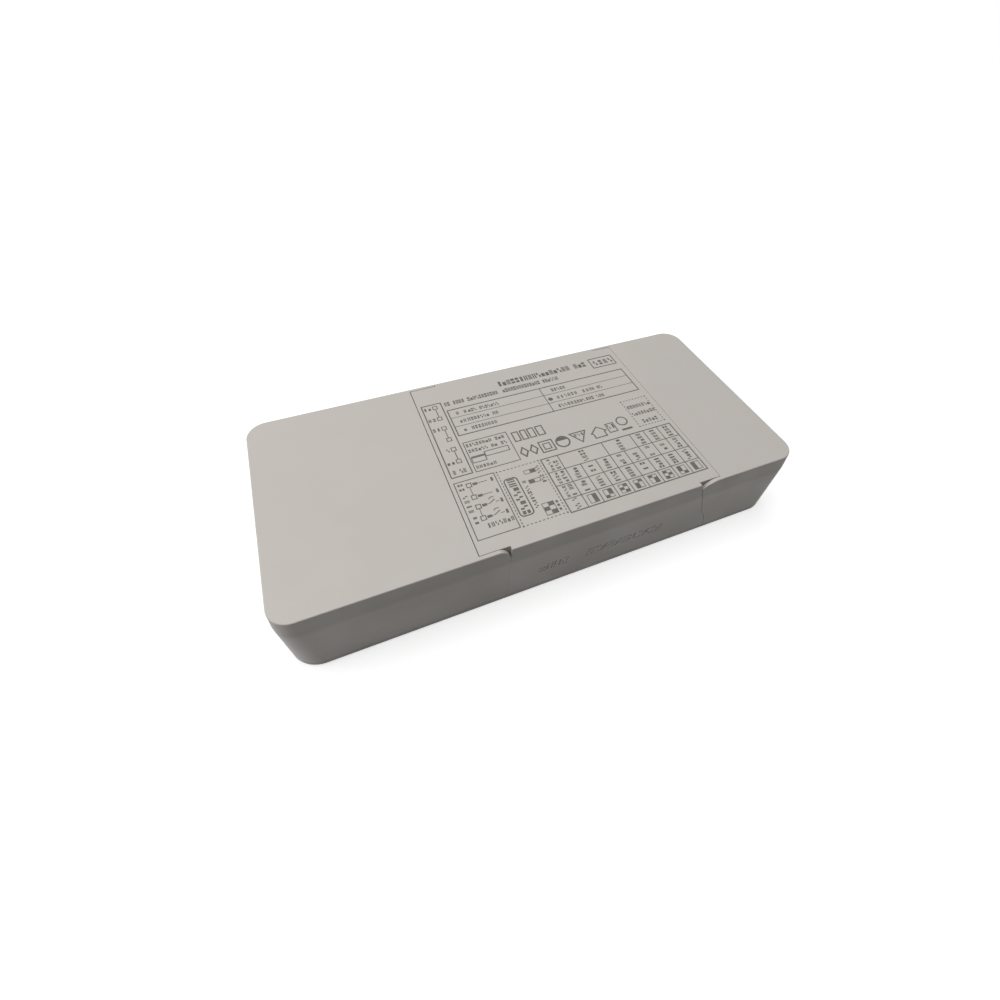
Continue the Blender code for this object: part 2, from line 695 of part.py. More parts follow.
def base_tray(finish):
    """The floor with its rim, board posts, fixing bosses, cable saddles and snap windows."""
    outside = prism(rounded_outline(TRAY_END, TRAY_SIDE, TRAY_CORNER), "Z", 0.0, RIM_TOP)
    inside = prism(rounded_outline(TRAY_END - RIM, TRAY_SIDE - RIM, TRAY_CORNER - RIM), "Z",
                   FLOOR, RIM_TOP + PASS)
    shapes, holes = board_supports()
    for end in ENDS:
        for added, drilled in (fixings(end), cable_saddles(end)):
            shapes += added
            holes += drilled
    tray = joined(cut(outside, inside), *shapes)
    return piece("base_tray", cut(tray, *holes, *rim_slots()), finish)


def insulation_sheet(finish):
    """A thin film on the tray floor under the live part of the board."""
    low = FLOOR + GAP
    sheet = block((-PRIMARY.seam - 2 * LAP, SECONDARY.seam + LAP),
                  span(0, 2 * (BOARD_EDGE - FILM_MARGIN)), (low, low + FILM))
    posts = [rod(radius + GAP, "Z", 0.0, RIM_TOP, x, y, sides=12)
             for radius, places in ((POST_RADIUS, BOARD_POSTS), (SCREW_POST_RADIUS, BOARD_SCREWS))
             for x, y in places]
    return piece("insulation_sheet", cut(sheet, *posts), finish)


# Fasteners and clamps

def screw_mesh():
    """A pan-head screw with a cross recess, its head resting at the origin."""
    head = turned([(SCREW_HEAD, 0.0), (SCREW_HEAD, SCREW_HEAD_EDGE),
                   (SCREW_CROWN, SCREW_HEAD_HEIGHT)], "Z", sides=12)
    shank = turned([(SCREW_POINT, -SCREW_LENGTH), (SCREW_SHANK, SCREW_POINT_LENGTH - SCREW_LENGTH),
                    (SCREW_SHANK, SCREW_HEAD_EDGE / 2)], "Z", sides=6)
    depth = (SCREW_HEAD_HEIGHT - RECESS_DEPTH, SCREW_HEAD_HEIGHT + PASS)
    wide, narrow = span(0, 2 * RECESS_REACH), span(0, RECESS_WIDTH)
    return cut(joined(head, shank), block(wide, narrow, depth), block(narrow, wide, depth))


def clamp(name, end, finish):
    """A bar across the cables with a rounded pressing rib over each; returns its screw places."""
    x = end.sign * CLAMP_PLACE
    low = CLAMP_SEAT + GAP
    top = low + CLAMP_THICKNESS
    outline = rounded_outline(CLAMP_LENGTH / 2, clamp_reach(end) + CLAMP_BOSS, CLAMP_CORNER, 4)
    bar = prism([(a + x, b) for a, b in outline], "Z", low, top)
    ribs = [rod(CLAMP_RIB, "Y", *span(y, 2 * (ENTRY_RADIUS - CLAMP_RIB_MARGIN)), x, low, sides=10)
            for y in end.entries]
    crest = block(span(x, RIB), span(0, 2 * (clamp_reach(end) - 2 * SCREW_HEAD)),
                  (top - ROOT, top + CLAMP_CREST))
    holes = [rod(SCREW_SHANK + GAP, "Z", 0.0, HEIGHT, a, b, sides=12) for a, b in clamp_bosses(end)]
    piece(name, cut(joined(bar, *ribs, crest), *holes), finish)
    return [(a, b, top + GAP) for a, b in clamp_bosses(end)]


# Board

def circuit_board(finish):
    """The board, drilled for each lead and screw that passes through it."""
    board = block((BOARD_START, BOARD_END), span(0, 2 * BOARD_EDGE), (BOARD_LOW, BOARD_TOP))
    through = (BOARD_LOW - PASS, BOARD_TOP + PASS)
    drills = [rod(LEAD_HOLE, "Z", *through, x, y, sides=6) for x, y in lead_places]
    drills += [rod(SCREW_SHANK + GAP, "Z", *through, x, y, sides=8) for x, y in BOARD_SCREWS]
    return piece("circuit_board", cut(board, *drills), finish)


# Terminals

def clip_outline(sign, front, back, top):
    """A wire clip seen from the side: foot, back, crest, pressing edge and lead-in lip."""
    spine = back + sign * CLIP_BACK
    tip = front - sign * 2 * GAP
    low = PART_FOOT + CLIP_FOOT
    high = top - CLIP_LIP
    press = PART_FOOT + WIRE_LEVEL
    path = [(tip, press + CLIP_LIP), (spine + sign * CLIP_PRESS, press - CLIP_FOOT),
            (spine + sign * CLIP_CREST, high + CLIP_THICKNESS), (spine, high),
            (spine, low + CLIP_BEND), (spine + sign * CLIP_BEND, low), (tip, low)]
    return strip(path, -sign * CLIP_THICKNESS)


def terminal(stem, sign, start, poles, pitch, depth, height, finishes):
    """A push-wire block: a wire hole, a spring chamber with its clip and a slot for each pole."""
    front = (BOARD_END if sign > 0 else BOARD_START) - sign * TERMINAL_FROM_END
    back = front - sign * depth
    top = PART_FOOT + height
    profile = [(front, PART_FOOT), (front, top - TERMINAL_SLOPE), (front - sign * TERMINAL_SLOPE, top),
               (back, top), (back, PART_FOOT)]
    chamber = sorted((front - sign * FRONT_WALL, back + sign * TERMINAL_WALL))
    chamber_front, chamber_back = chamber[::-1] if sign > 0 else chamber
    chamber_top = top - 2 * TERMINAL_WALL
    release = chamber_back + sign * RELEASE_FROM_BACK
    holes = []
    middles = spread(poles, pitch, start + poles * pitch / 2)
    for y in middles:
        holes.append(block(chamber, span(y, pitch - 2 * TERMINAL_WALL), (0.0, chamber_top)))
        holes.append(block(sorted((front + sign * PASS, chamber_front - sign * GAP)),
                           span(y, WIRE_HOLE), span(PART_FOOT + WIRE_LEVEL, WIRE_HOLE)))
        holes.append(block(sorted((release, release + sign * RELEASE_LENGTH)),
                           span(y, RELEASE_WIDTH), (chamber_top - GAP, HEIGHT)))
    body_finish, clip_finish = finishes
    piece(f"{stem}_terminal", cut(prism(profile, "Y", start, start + poles * pitch), *holes),
          body_finish)
    outline = clip_outline(sign, chamber_front, chamber_back, chamber_top)
    width = pitch - 2 * (TERMINAL_WALL + GAP)
    for number, y in enumerate(middles, 1):
        pin = lead(chamber_back + sign * CLIP_PIN, y, PART_FOOT + CLIP_FOOT + CLIP_THICKNESS / 2)
        piece(f"{stem}_clip_{number}", joined(prism(outline, "Y", *span(y, width)), pin), clip_finish)


def selector_switch(body_finish, slider_finish):
    """A slide switch whose sliders travel along X in open slots."""
    x = BOARD_END - SWITCH_FROM_END
    y = BOARD_EDGE - SWITCH_FROM_EDGE
    top = PART_FOOT + SWITCH_HEIGHT
    floor = top - SLOT_DEPTH
    body = block(span(x, SWITCH_DEPTH), span(y, SWITCH_WIDTH), (PART_FOOT, top), SMALL_CHAMFER)
    ways = spread(SWITCH_WAYS, SWITCH_PITCH, y)
    slots = [block(span(x, SLOT_LENGTH), span(way, SLOT_WIDTH), (floor, top + PASS)) for way in ways]
    pins = [lead(x + side * SWITCH_PIN_PITCH / 2, way, PART_FOOT + ROOT)
            for way in ways for side in (-1, 1)]
    piece("selector_switch", cut(joined(body, *pins), *slots), body_finish)
    start = x - SLOT_LENGTH / 2 + GAP
    middle = start + SLIDER_LENGTH / 2
    foot = floor + GAP
    for number, way in enumerate(ways, 1):
        slider = block((start, start + SLIDER_LENGTH), span(way, SLOT_WIDTH - 2 * GAP),
                       (foot, top + SLIDER_PROUD), SMALL_CHAMFER)
        piece(f"switch_slider_{number}", slider, slider_finish, origin=(middle, way, foot))


# Parts on the board

def row_places(lengths):
    """Middles along X of parts that share a row, evenly spaced between the two partitions."""
    start = PRIMARY_PARTITION + PARTITION
    space = (ROOM_LENGTH - sum(lengths)) / (len(lengths) + 1)
    places = []
    for length in lengths:
        places.append(start + space + length / 2)
        start += space + length
    return places


def box_part(name, x, y, size, leads, finish, chamfer=BODY_CHAMFER):
    """A moulded box on round leads, which are given from its middle."""
    body = block(span(x, size[0]), span(y, size[1]), (PART_FOOT, PART_FOOT + size[2]), chamfer)
    pins = [lead(x + a, y + b, PART_FOOT + ROOT) for a, b in leads]
    piece(name, joined(body, *pins), finish)


def boxed_capacitor(name, x, y, size, finish):
    """A box capacitor with one lead near each end of its length across the board."""
    lead_reach = size[1] / 2 - BOX_LEAD_INSET
    box_part(name, x, y, size, ((0, -lead_reach), (0, lead_reach)), finish)


def disc_part(name, axis, x, y, radius, thickness, finish):
    """A coated disc standing on two leads, its axis along X or Y."""
    centre = PART_FOOT + DISC_LIFT + radius
    middle, across = (x, y) if axis == "X" else (y, x)
    low, high = span(middle, thickness)
    profile = [(radius - DISC_SOFTNESS, low), (radius, low + DISC_SOFTNESS),
               (radius, high - DISC_SOFTNESS), (radius - DISC_SOFTNESS, high)]
    pins = []
    for offset in spread(2, RADIAL_PITCH):
        place = (x, y + offset) if axis == "X" else (x + offset, y)
        pins.append(lead(*place, centre))
    piece(name, joined(turned(profile, axis, across, centre), *pins), finish)


def fuse(x, y, finish):
    """A small round fuse on two leads."""
    high = PART_FOOT + FUSE_HEIGHT
    profile = [(FUSE_RADIUS, PART_FOOT), (FUSE_RADIUS, high - BODY_CHAMFER),
               (FUSE_RADIUS - BODY_CHAMFER, high)]
    pins = [lead(x + offset, y, PART_FOOT + ROOT) for offset in spread(2, RADIAL_PITCH)]
    piece("fuse", joined(turned(profile, "Z", x, y), *pins), finish)


def can_profile(radius, low, high):
    """An electrolytic capacitor's turned shape: rounded ends and a crimp near its foot."""
    inner = radius - CAN_GROOVE
    crimp = low + CAN_GROOVE_LEVEL
    return [(inner, low), (radius, low + CAN_GROOVE), (radius, crimp - CAN_GROOVE), (inner, crimp),
            (radius, crimp + CAN_GROOVE), (radius, high - CAN_GROOVE), (inner, high)]


def upright_can(name, x, y, radius, height, finish):
    """An upright electrolytic capacitor with a cross scored in its lid."""
    lid = PART_FOOT + height
    body = turned(can_profile(radius, PART_FOOT, lid), "Z", x, y)
    pins = [lead(x + offset, y, PART_FOOT + ROOT) for offset in spread(2, RADIAL_PITCH)]
    depth = (lid - CAN_SCORE, lid + PASS)
    long_score, thin_score = 2 * (radius - 3 * CAN_GROOVE), CAN_SCORE
    scores = [block(span(x, a), span(y, b), depth)
              for a, b in ((long_score, thin_score), (thin_score, long_score))]
    piece(name, cut(joined(body, *pins), *scores), finish)


def lying_can(name, x, y, radius, length, finish):
    """The bulk capacitor on its side, its leads bent down at the -X end."""
    level = PART_FOOT + radius
    low = x - length / 2 + BULK_BEND / 2
    bend = low - BULK_BEND
    parts = []
    for place in spread(2, RADIAL_PITCH, y):
        parts.append(rod(LEAD, "X", bend - LEAD, low + ROOT, place, level, sides=6))
        parts.append(lead(bend, place, level + LEAD))
    body = turned(can_profile(radius, low, low + length), "X", y, level)
    piece(name, joined(body, *parts), finish)


def coil_path(x, y, level, facing):
    """One coil of a ring choke: turns that pass through the ring and round its outer face."""
    per_turn = 8
    slack = GAP + WIRE_RADIUS
    inner_arc = 2 * COIL_SPREAD * (RING_INNER - slack)
    steps = per_turn * int(inner_arc / (2 * WIRE_RADIUS + COIL_SPACE))
    centre = (RING_OUTER + RING_INNER) / 2
    half_width = (RING_OUTER - RING_INNER) / 2 + slack
    half_height = RING_THICKNESS / 2 + slack
    path = []
    for step in range(steps + 1):
        around = facing + COIL_SPREAD * (2 * step / steps - 1)
        wind = 2 * math.pi * (step / per_turn + 0.25)
        squareness = max(abs(math.cos(wind)), abs(math.sin(wind))) ** 0.8
        radius = centre + half_width * math.cos(wind) / squareness
        height = level - half_height * math.sin(wind) / squareness
        path.append((x + radius * math.cos(around), y + radius * math.sin(around), height))
    return path


def ring_choke(x, y, ring_finish, wire_finish):
    """A ring core lying on the board with a coil on each half of it."""
    low = PART_FOOT + GAP + 2 * WIRE_RADIUS
    ring = cut(rod(RING_OUTER, "Z", low, low + RING_THICKNESS, x, y, sides=32),
               rod(RING_INNER, "Z", 0.0, HEIGHT, x, y, sides=24))
    piece("choke_core", ring, ring_finish)
    for number, facing in enumerate((0.0, math.pi), 1):
        path = coil_path(x, y, low + RING_THICKNESS / 2, facing)
        ends = [path[0][:2], path[-1][:2]]
        lead_places.extend(ends)
        path = [(*ends[0], LEAD_END)] + path + [(*ends[1], LEAD_END)]
        curve = bpy.data.curves.new(f"choke_coil_{number}", "CURVE")
        curve.dimensions = "3D"
        curve.bevel_depth = WIRE_RADIUS
        curve.bevel_resolution = 1
        curve.use_fill_caps = True
        spline = curve.splines.new("POLY")
        spline.points.add(len(path) - 1)
        for point, place in zip(spline.points, path):
            point.co = (*place, 1.0)
        curve.materials.append(wire_finish)
        coil = bpy.data.objects.new(curve.name, curve)
        bpy.context.scene.collection.objects.link(coil)


def core_halves(stem, x, y, centre, size, finish):
    """Two E-shaped ferrite halves that meet in the middle of the part."""
    window = size.width / 2 - size.leg
    root = size.depth / 2 - size.leg
    for side, end in ((-1, "left"), (1, "right")):
        corners = [(size.depth / 2, -size.width / 2), (GAP / 2, -size.width / 2), (GAP / 2, -window),
                   (root, -window), (root, -size.leg), (GAP / 2, -size.leg), (GAP / 2, size.leg),
                   (root, size.leg), (root, window), (GAP / 2, window), (GAP / 2, size.width / 2),
                   (size.depth / 2, size.width / 2)]
        outline = [(x + side * a, y + b) for a, b in corners]
        piece(f"{stem}_core_{end}", prism(outline, "Z", *span(centre, size.thickness)), finish)


def wound_part(stem, x, y, size, finishes):
    """A two-part ferrite core, its bobbin with pin rails, and the winding between the flanges."""
    ferrite, plastic, tape = finishes
    centre = PART_FOOT + size.rail + size.flange
    core_halves(stem, x, y, centre, size, ferrite)
    spool = size.depth / 2 - size.leg - GAP
    half_flange = size.width / 2 - size.leg - GAP
    bore = (size.leg + GAP, size.thickness / 2 + GAP)
    barrel = (bore[0] + size.barrel, bore[1] + size.barrel)
    parts = []
    for side in (-1, 1):
        cheek = sorted((x + side * spool, x + side * (spool - size.cheek)))
        parts.append(block(cheek, span(y, 2 * half_flange), span(centre, 2 * size.flange)))
        rail = sorted((x + side * (spool - GAP), x + side * (spool - GAP - size.rail_depth)))
        parts.append(block(rail, span(y, size.width), (PART_FOOT, PART_FOOT + size.rail)))
        parts.append(block(cheek, span(y, 2 * half_flange),
                           (PART_FOOT + size.rail - ROOT, centre - size.thickness / 2)))
        pin_pitch = (size.width - 2 * RAIL_PIN_MARGIN) / (size.pins - 1)
        for place in spread(size.pins, pin_pitch, y):
            parts.append(lead(x + side * (spool - GAP - size.rail_depth / 2), place, PART_FOOT + ROOT))
    tube = block(span(x, 2 * (spool - GAP)), span(y, 2 * barrel[0]), span(centre, 2 * barrel[1]))
    through = block(span(x, LENGTH), span(y, 2 * bore[0]), span(centre, 2 * bore[1]))
    piece(f"{stem}_bobbin", cut(joined(tube, *parts), through), plastic)
    hole = rounded_outline(barrel[0] + GAP, barrel[1] + GAP, BODY_CHAMFER, 2)
    outside = rounded_outline(half_flange - GAP, size.flange - GAP, size.flange / 2, 4)
    ring = cut(prism([(a + y, b + centre) for a, b in outside], "X",
                     *span(x, 2 * (spool - size.cheek - GAP))),
               prism([(a + y, b + centre) for a, b in hole], "X", -LENGTH, LENGTH))
    piece(f"{stem}_winding", ring, tape)


def power_stage(x, y, plate_finish, body_finish):
    """The switching transistor on its aluminium angle; returns the place of its screw's head."""
    sheet = span(y, SPREADER_SHEET)
    angle = joined(block(span(x, SPREADER_LENGTH), sheet, (PART_FOOT, PART_FOOT + SPREADER_HEIGHT)),
                   block(span(x, SPREADER_LENGTH), (y, y + SPREADER_FOOT),
                         (PART_FOOT, PART_FOOT + SPREADER_SHEET)))
    back = sheet[0] - GAP
    front = back - TRANSISTOR[1]
    foot = PART_FOOT + TRANSISTOR_LIFT
    screw_level = foot + TRANSISTOR_HOLE_LEVEL
    bore = (SCREW_SHANK + GAP, "Y", front - PASS, sheet[1] + PASS, x, screw_level)
    piece("heat_spreader", cut(angle, rod(*bore, sides=12)), plate_finish)
    body = block(span(x, TRANSISTOR[0]), (front, back), (foot, foot + TRANSISTOR[2]), BODY_CHAMFER)
    legs = [lead(place, (front + back) / 2, foot + ROOT) for place in spread(3, TRANSISTOR_PITCH, x)]
    piece("power_transistor", cut(joined(body, *legs), rod(*bore, sides=12)), body_finish)
    return (x, front - GAP, screw_level)


def rectifier(x, y, finish):
    """A flat four-lead bridge rectifier on edge, one upper corner cut off."""
    low, high = span(y, RECTIFIER[1])
    foot = PART_FOOT + GAP
    top = foot + RECTIFIER[2]
    outline = [(low, foot), (high, foot), (high, top - RECTIFIER_CORNER),
               (high - RECTIFIER_CORNER, top), (low, top)]
    pins = [lead(x, place, foot + ROOT) for place in spread(4, RECTIFIER_PITCH, y)]
    piece("bridge_rectifier", joined(prism(outline, "X", *span(x, RECTIFIER[0])), *pins), finish)


def chip(name, x, y, length, finish):
    """A surface-mount chip with as many bent legs along its two long sides as it has room for."""
    body = block(span(x, length), span(y, CHIP_WIDTH),
                 (PART_FOOT + CHIP_LIFT, PART_FOOT + CHIP_HEIGHT), SMALL_CHAMFER)
    legs = 1 + int((length - 2 * CHIP_END) / CHIP_PITCH)
    parts = []
    level = PART_FOOT + CHIP_LEG_LEVEL
    for place in spread(legs, CHIP_PITCH, x):
        for side in (-1, 1):
            edge = y + side * CHIP_WIDTH / 2
            bend = edge + side * CHIP_LEG_REACH / 2
            shape = [(edge - side * GAP, level), (bend - side * CHIP_LEG_SHEET, level),
                     (bend, PART_FOOT), (edge + side * CHIP_LEG_REACH, PART_FOOT)]
            parts.append(prism(strip(shape, side * CHIP_LEG_SHEET), "X", *span(place, CHIP_LEG_WIDTH)))
    piece(name, joined(body, *parts), finish)


def near_row(black, orange, ring_finish, wire_finish, tape):
    ring_length = 2 * (RING_OUTER + GAP + 2 * WIRE_RADIUS)
    places = row_places((2 * FUSE_RADIUS, ring_length, FILTER_CHOKE.depth, 2 * SAFETY_RADIUS,
                         DIMMING_CHIP))
    fuse(places[0], FUSE_ROW, black)
    ring_choke(places[1], NEAR_ROW, ring_finish, wire_finish)
    wound_part("filter_choke", places[2], NEAR_ROW, FILTER_CHOKE, (ring_finish, black, tape))
    disc_part("safety_capacitor", "Y", places[3], NEAR_ROW, SAFETY_RADIUS, SAFETY_THICKNESS, orange)
    chip("dimming_controller", places[4], NEAR_ROW, DIMMING_CHIP, black)


def middle_row(black, blue, yellow, grey, plate, ferrite, tape):
    places = row_places((MAINS_CAPACITOR[0], FILM_CAPACITOR[0], SPREADER_LENGTH, TRANSFORMER.depth))
    disc_part("varistor", "X", places[0], VARISTOR_ROW, VARISTOR_RADIUS, VARISTOR_THICKNESS, blue)
    boxed_capacitor("mains_capacitor", places[0], MAINS_CAPACITOR_ROW, MAINS_CAPACITOR, yellow)
    boxed_capacitor("film_capacitor", places[1], FILM_CAPACITOR_ROW, FILM_CAPACITOR, grey)
    chip("filter_controller", places[1], FILTER_CHIP_ROW, FILTER_CHIP, black)
    wound_part("transformer", places[3], 0.0, TRANSFORMER, (ferrite, black, tape))
    return power_stage(places[2], SPREADER_ROW, plate, black)


def far_row(black, sleeve):
    can = 2 * OUTPUT_CAN_RADIUS
    places = row_places((RECTIFIER[0], BULK_LENGTH + BULK_BEND, OPTOCOUPLER[0], can, can))
    rectifier(places[0], FAR_ROW, black)
    lying_can("bulk_capacitor", places[1], FAR_ROW, BULK_RADIUS, BULK_LENGTH, sleeve)
    across = OPTOCOUPLER[1] / 2 - BODY_CHAMFER
    along = OPTOCOUPLER[0] / 2 - BODY_CHAMFER
    leads = [(a, b) for a in (-along, along) for b in (-across, across)]
    box_part("optocoupler", places[2], FAR_ROW, OPTOCOUPLER, leads, black, SMALL_CHAMFER)
    for number, x in enumerate(places[3:], 1):
        upright_can(f"output_capacitor_{number}", x, FAR_ROW, OUTPUT_CAN_RADIUS, OUTPUT_CAN_HEIGHT,
                    sleeve)


def screws(places, transistor_place, finish):
    """One screw mesh, used for the clamps, the board and the transistor."""
    mesh = screw_mesh()
    first = piece("clamp_screw_1", mesh, finish)
    first.location = places[0]
    for number, place in enumerate(places[1:], 2):
        copy_of(first, f"clamp_screw_{number}", place)
    for number, (x, y) in enumerate(BOARD_SCREWS, 1):
        copy_of(first, f"board_screw_{number}", (x, y, BOARD_TOP + GAP))
    sideways = copy_of(first, "transistor_screw", transistor_place)
    sideways.rotation_euler = (math.pi / 2, 0, 0)


def build():
    clear_scene()
    case = material("case_plastic", (0.60, 0.57, 0.53), 0.55)
    tray = material("tray_plastic", (0.56, 0.54, 0.50), 0.6)
    film = material("insulation_film", (0.75, 0.74, 0.68), 0.35)
    laminate = material("board_laminate", (0.05, 0.22, 0.10), 0.45)
    steel = material("zinc_plated_steel", (0.62, 0.62, 0.60), 0.35, 1.0)
    tin = material("tinned_copper", (0.72, 0.70, 0.66), 0.3, 1.0)
    aluminium = material("plain_aluminium", (0.75, 0.75, 0.76), 0.4, 1.0)
    ferrite = material("ferrite", (0.05, 0.05, 0.055), 0.5)
    enamel = material("enamelled_copper", (0.55, 0.20, 0.07), 0.3, 0.6)
    tape = material("winding_tape", (0.80, 0.62, 0.06), 0.4)
    black = material("black_moulding", (0.025, 0.025, 0.027), 0.5)
    sleeve = material("capacitor_sleeve", (0.04, 0.05, 0.09), 0.35)
    white = material("terminal_moulding", (0.78, 0.77, 0.73), 0.45)
    grey = material("film_capacitor_case", (0.42, 0.43, 0.44), 0.5)
    yellow = material("mains_capacitor_case", (0.80, 0.60, 0.10), 0.4)
    blue = material("disc_coating", (0.05, 0.18, 0.50), 0.35)
    orange = material("disc_coating_orange", (0.75, 0.30, 0.06), 0.35)
    red = material("switch_body", (0.50, 0.04, 0.03), 0.4)

    base_tray(tray)
    insulation_sheet(film)
    label_housing(case)
    cover("primary_cover", PRIMARY, case)
    cover("secondary_cover", SECONDARY, case)

    terminal("mains", -1, MAINS_START, MAINS_POLES, POLE_PITCH, TERMINAL_DEPTH, TERMINAL_HEIGHT,
             (white, tin))
    terminal("control", -1, CONTROL_START, CONTROL_POLES, CONTROL_PITCH, TERMINAL_DEPTH,
             TERMINAL_HEIGHT, (white, tin))
    terminal("output", 1, OUTPUT_START, OUTPUT_POLES, POLE_PITCH, OUTPUT_DEPTH, OUTPUT_HEIGHT,
             (white, tin))
    selector_switch(red, white)

    near_row(black, orange, ferrite, enamel, tape)
    transistor_screw_place = middle_row(black, blue, yellow, grey, aluminium, ferrite, tape)
    far_row(black, sleeve)

    screw_places = clamp("primary_clamp", PRIMARY, white) + clamp("secondary_clamp", SECONDARY, white)
    screws(screw_places, transistor_screw_place, steel)
    circuit_board(laminate)


build()
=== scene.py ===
import json
import math
import random

import bmesh
import bpy
from mathutils import Matrix, Vector

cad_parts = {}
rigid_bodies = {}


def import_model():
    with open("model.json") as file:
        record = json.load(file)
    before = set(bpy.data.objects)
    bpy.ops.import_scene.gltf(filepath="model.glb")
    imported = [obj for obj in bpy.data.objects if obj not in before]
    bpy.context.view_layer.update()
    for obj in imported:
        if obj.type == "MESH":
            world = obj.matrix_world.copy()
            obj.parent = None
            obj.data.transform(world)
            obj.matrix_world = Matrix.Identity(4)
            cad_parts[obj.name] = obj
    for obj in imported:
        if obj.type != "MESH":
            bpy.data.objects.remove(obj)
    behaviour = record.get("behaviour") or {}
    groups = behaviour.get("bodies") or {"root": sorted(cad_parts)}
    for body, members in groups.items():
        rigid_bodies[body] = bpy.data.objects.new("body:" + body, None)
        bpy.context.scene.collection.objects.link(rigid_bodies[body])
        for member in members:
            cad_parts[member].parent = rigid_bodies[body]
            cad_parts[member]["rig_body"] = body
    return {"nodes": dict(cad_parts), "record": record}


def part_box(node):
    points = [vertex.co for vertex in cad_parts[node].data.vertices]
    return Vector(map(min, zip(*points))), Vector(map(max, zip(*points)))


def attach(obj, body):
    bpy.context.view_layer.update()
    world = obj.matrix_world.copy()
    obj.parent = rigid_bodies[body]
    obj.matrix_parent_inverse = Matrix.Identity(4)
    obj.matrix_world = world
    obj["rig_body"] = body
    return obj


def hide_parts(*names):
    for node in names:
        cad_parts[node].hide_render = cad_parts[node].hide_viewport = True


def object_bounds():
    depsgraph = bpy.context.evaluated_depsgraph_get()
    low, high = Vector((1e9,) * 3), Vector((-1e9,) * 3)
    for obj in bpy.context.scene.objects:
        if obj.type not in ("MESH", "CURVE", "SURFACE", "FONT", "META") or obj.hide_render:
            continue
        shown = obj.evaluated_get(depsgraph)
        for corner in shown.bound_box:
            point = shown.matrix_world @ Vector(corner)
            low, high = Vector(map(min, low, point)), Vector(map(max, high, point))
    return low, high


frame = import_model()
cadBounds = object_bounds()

mm = 0.001
nodes = frame["nodes"]
slotOf = {part["node"]: part["material_slot"] for part in frame["record"]["subparts"]}
print("frame loaded:", len(nodes), "nodes")


# camera

cameraSetup = {
    "lens": 20.586, "sensor": 36.0, "shift": (-0.0207, -0.0990), "near": 0.005,
    "place": (-0.055685, -0.110449, 0.152895), "turn": (0.834560, -0.052996, -0.402654),
}
camera = bpy.data.objects.new("camera", bpy.data.cameras.new("camera"))
camera.data.lens = cameraSetup["lens"]
camera.data.sensor_width = cameraSetup["sensor"]
camera.data.shift_x, camera.data.shift_y = cameraSetup["shift"]
camera.data.clip_start = cameraSetup["near"]
camera.location = cameraSetup["place"]
camera.rotation_euler = cameraSetup["turn"]
bpy.context.scene.collection.objects.link(camera)
bpy.context.scene.camera = camera
bpy.context.scene.view_settings.view_transform = "Standard"


# helpers for node trees, shader and geometry alike

def add(tree, kind, inputs=None, **options):
    node = tree.nodes.new(kind)
    for option, value in options.items():
        setattr(node, option, value)
    for socket, value in (inputs or {}).items():
        if isinstance(value, bpy.types.NodeSocket):
            tree.links.new(value, node.inputs[socket])
        else:
            node.inputs[socket].default_value = value
    return node


def maths(tree, operation, a, b=0.0):
    return add(tree, "ShaderNodeMath", {0: a, 1: b}, operation=operation).outputs[0]


def ramp(tree, value, low, high, start=0.0, end=1.0):  # low..high becomes start..end, softly
    return add(tree, "ShaderNodeMapRange", {"Value": value, "From Min": low, "From Max": high,
               "To Min": start, "To Max": end}, interpolation_type="SMOOTHSTEP").outputs[0]


def blendColour(tree, amount, first, second):
    node = add(tree, "ShaderNodeMix", {0: amount}, data_type="RGBA")
    for socket, value in ((node.inputs[6], first), (node.inputs[7], second)):
        if isinstance(value, bpy.types.NodeSocket):
            tree.links.new(value, socket)
        else:
            socket.default_value = (*value, 1.0)
    return node.outputs[2]


def noise(tree, place, size, detail=3.0):  # size of one blotch in mm
    return add(tree, "ShaderNodeTexNoise", {"Vector": place, "Scale": 1.0 / (size * mm),
               "Detail": detail}).outputs["Fac"]


def bump(tree, height, depth, under=None):  # depth in mm
    inputs = {"Height": height, "Distance": depth * mm}
    if under:
        inputs["Normal"] = under
    return add(tree, "ShaderNodeBump", inputs).outputs["Normal"]


def startMaterial(name):
    made = bpy.data.materials.new(name)
    made.use_nodes = True
    tree = made.node_tree
    place = add(tree, "ShaderNodeTexCoord").outputs["Object"]
    return made, tree, tree.nodes["Principled BSDF"], place


# finishes: colours are linear, sizes in mm

# the noise levels at which an effect starts and is full
noiseEnds = {"blotch": (0.35, 0.65), "grain": (0.52, 0.72), "wide": (0.3, 0.7)}
noiseDetail = {"blotch": 4.0, "grain": 2.0}
edgeWear = {"paler": 0.12, "shade": 0.5, "rough": 0.8, "depth": 0.4}


def between(tree, level, low, high, soft):  # 1 from low to high, fading out over soft, all in mm
    rise = ramp(tree, level, (low - soft) * mm, low * mm)
    fall = ramp(tree, level, high * mm, (high + soft) * mm, 1.0, 0.0)
    return maths(tree, "MULTIPLY", rise, fall)


